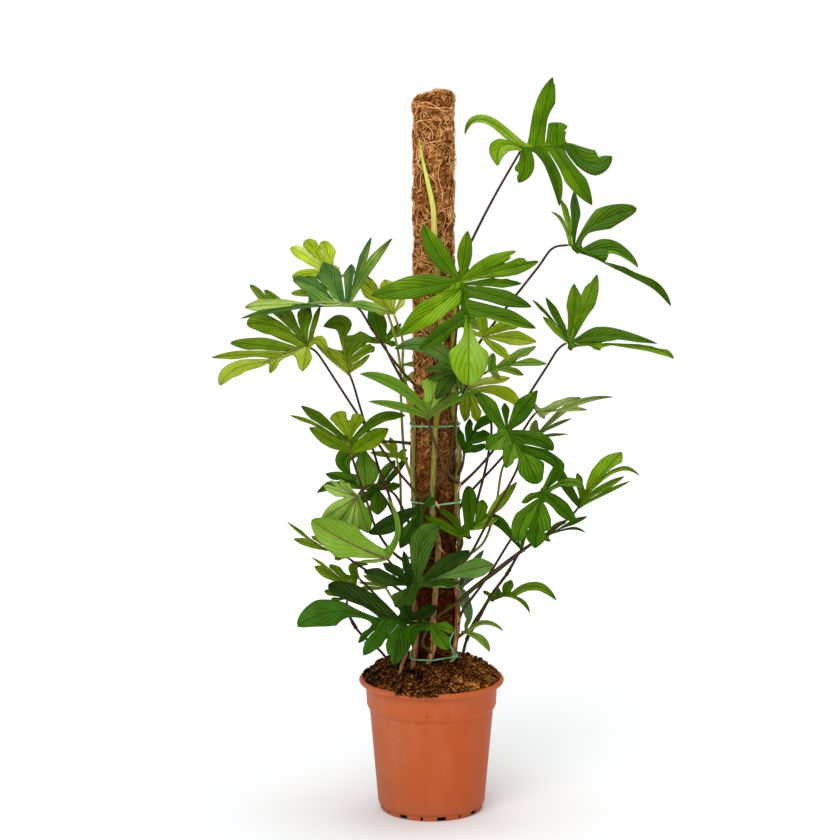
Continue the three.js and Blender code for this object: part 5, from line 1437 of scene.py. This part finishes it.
green_rib = rib_finish("rib_green", (112, 150, 52), (158, 188, 92))
dark_rib = rib_finish("rib_dark", (46, 78, 18), (78, 110, 38))
brown_rib = rib_finish("rib_brown", (74, 44, 24), (118, 82, 44))
young_rib = rib_finish("rib_young", (150, 170, 60), (190, 204, 104))
rib_of = {"young": young_rib, "dark": dark_rib, "teal": dark_rib, "deep": dark_rib, "pale": brown_rib}
slot_of = {"olive": "fresh", "bluish": "teal"}

for name, _, _, via, seat, facing, rib_end, tone, lobes, looks in LEAVES:
    dice = random.Random(name)
    leaf = Leaf(seat, facing, rib_end, lobes, looks)
    bm = bmesh.new()
    bm.loops.layers.uv.new("Lobe")
    bm.verts.layers.float.new("margin")
    bm.verts.layers.float.new("tint")
    shares = sorted({0, *(lobe.share for lobe in leaf.lobes)})
    count = len(leaf.lobes)
    leaf_tint_and_light = looks.get("tint", dice.uniform(0.3, 0.7))
    for i, lobe in enumerate(leaf.lobes):
        tint = lobe.looks.get("tint", leaf_tint_and_light + dice.uniform(-0.25, 0.25))
        look = [dice.uniform(-0.30, 0.30), dice.uniform(1.2, 2.6), dice.uniform(0, 6), tint]
        # One half of the lobe is painted lighter and the other darker, as light and shade on its fold along
        # the midrib.
        fold_light = dice.uniform(-0.14, 0.14)
        look[3] = tint + fold_light
        half_lobe(bm, leaf, lobe, leaf.lobes[i - 1], leaf.notches[i - 1], -1, look)
        look[3] = tint - fold_light
        half_lobe(bm, leaf, lobe, leaf.lobes[(i + 1) % count], leaf.notches[i], 1, look)
        if i < count - 1:
            low, high = sorted((lobe.share, leaf.lobes[i + 1].share))
            stops = [s for s in shares if low <= s <= high]
            for a, b in zip(stops, stops[1:]):
                web_patch(bm, leaf, leaf.seat.lerp(leaf.rib_end, a), leaf.seat.lerp(leaf.rib_end, b),
                          leaf.notches[i], tint)
    bmesh.ops.remove_doubles(bm, verts=bm.verts, dist=1e-5)
    upper = skins[tone]
    under = skins["under_" + under_of[tone]]
    shows = looks.get("rib", 0)
    ribs = brown_rib if shows else rib_of.get(tone, green_rib)
    turned_over = tone == "pale"
    materials = [under, upper, ribs] if turned_over else [upper, under, ribs]
    sheet = bpy.data.meshes.new(name)
    bm.to_mesh(sheet)
    bm.free()
    sheet.shade_smooth()
    for material in materials[:2]:
        sheet.materials.append(material)
    draft = placed(name, sheet)
    wall = draft.modifiers.new("wall", "SOLIDIFY")
    wall.thickness = BLADE
    wall.material_offset = 1
    wall.material_offset_rim = 0
    bm = settled(draft)

    below = leaf.facing * (1 if turned_over else -1)
    rib_lines = []
    if rib_end:
        radii = [1.25 - 0.08 * t for t in range(7)]
        sink = -0.3 if shows else 1
        centres = [leaf.seat.lerp(leaf.rib_end, t / 6) + below * r * sink for t, r in enumerate(radii)]
        rib_lines.append((centres, [r * (0.8 if shows else 1) for r in radii]))
    for lobe in leaf.lobes:
        thick = 0.45 + 0.035 * lobe.half
        radii = [thick * (1 - 0.075 * t) for t in range(11)]
        rib_lines.append(([lobe.at(t / 10 * 0.92) + below * r for t, r in enumerate(radii)], radii))
    to_seat = (leaf.seat - seen(*(via[-1] if via else seat))).normalized() if via else leaf.along
    rib_lines.append(([leaf.seat - to_seat * 7, leaf.seat - to_seat * 3, leaf.seat + to_seat * 0.2],
                      [STALK_TIP, STALK_TIP * 1.25, STALK_TIP * 0.6]))
    rib_lines = [([p * 0.001 for p in points], [r * 0.001 for r in radii], 0)
                 for points, radii in rib_lines]
    ribs_bm = strands("ribs", rib_lines, [ribs], 6)
    for f in ribs_bm.faces:
        f.material_index = 2
    join(bm, ribs_bm)
    piece("oak_" + name, bm, materials, ["leaf_" + name], "leaf_" + slot_of.get(tone, tone))


# Rolled leaf: the newest leaf is still wrapped round itself like a spear, pale and waxy, with one
# margin that winds up its length.
SPEAR = [(4, 960, -46), (2, 1000, -45), (-6, 1040, -43), (-14, 1075, -42), (-21, 1112, -41)]
SPEAR_R = [4.2, 5, 5, 4.6, 4.4, 4.2, 3.8, 3.2, 2.4, 1.5, 0.5]
SPEAR_STEP = 4
SLIMMER = 0.94
WRAP_FROM = 1.15
WRAP_TURN = 1.9
WRAP_OUT = 0.92

spear_bends = [stem_lines["front"][-1] + Vector((0, 0, 0.3))] + [seen(*p) for p in SPEAR]
spear_line = through(spear_bends, SPEAR_STEP)
spear_widths = []
for i in range(len(spear_line)):
    at = i / (len(spear_line) - 1) * (len(SPEAR_R) - 1)
    k = min(int(at), len(SPEAR_R) - 2)
    spear_widths.append((SPEAR_R[k] + (SPEAR_R[k + 1] - SPEAR_R[k]) * (at - k)) * SLIMMER)
wrap = []
for i, (p, r) in enumerate(zip(spear_line, spear_widths)):
    turn = math.pi * WRAP_FROM + i / len(spear_line) * WRAP_TURN
    wrap.append(p + Vector((math.cos(turn), math.sin(turn), 0)) * r * WRAP_OUT)
waxy = Finish("rolled_leaf")
spear_height = waxy.axis("Z")
run = waxy.grain(1, 4, waxy.stretched(500, 500, 18))
waxy_color = waxy.shades(run, (0.32, 164, 184, 58), (0.52, 196, 208, 88), (0.72, 218, 224, 128))
side = waxy.axis("X")
blush = (side + spear_height * 0.18).step(0.186, 0.176) * spear_height.step(1.07, 1.0)
waxy_color = waxy.mix(blush * 0.6, waxy_color, srgb(214, 160, 112))
waxy_color = waxy.mix(spear_height.step(1.03, 1.11) * 0.5, waxy_color, srgb(150, 184, 50))
waxy_leaf = waxy.paint(waxy_color, 0.40, waxy.bump(run, 0.0004), 0.3)
spear = [([p * 0.001 for p in spear_line], [r * 0.001 for r in spear_widths], 0),
         ([p * 0.001 for p in wrap], [max(r * 0.00022, 0.0003) for r in spear_widths], 0)]
piece("rolled_leaf", strands("rolled_leaf", spear, [waxy_leaf], 12), [waxy_leaf], ["sheath"], "sheath")
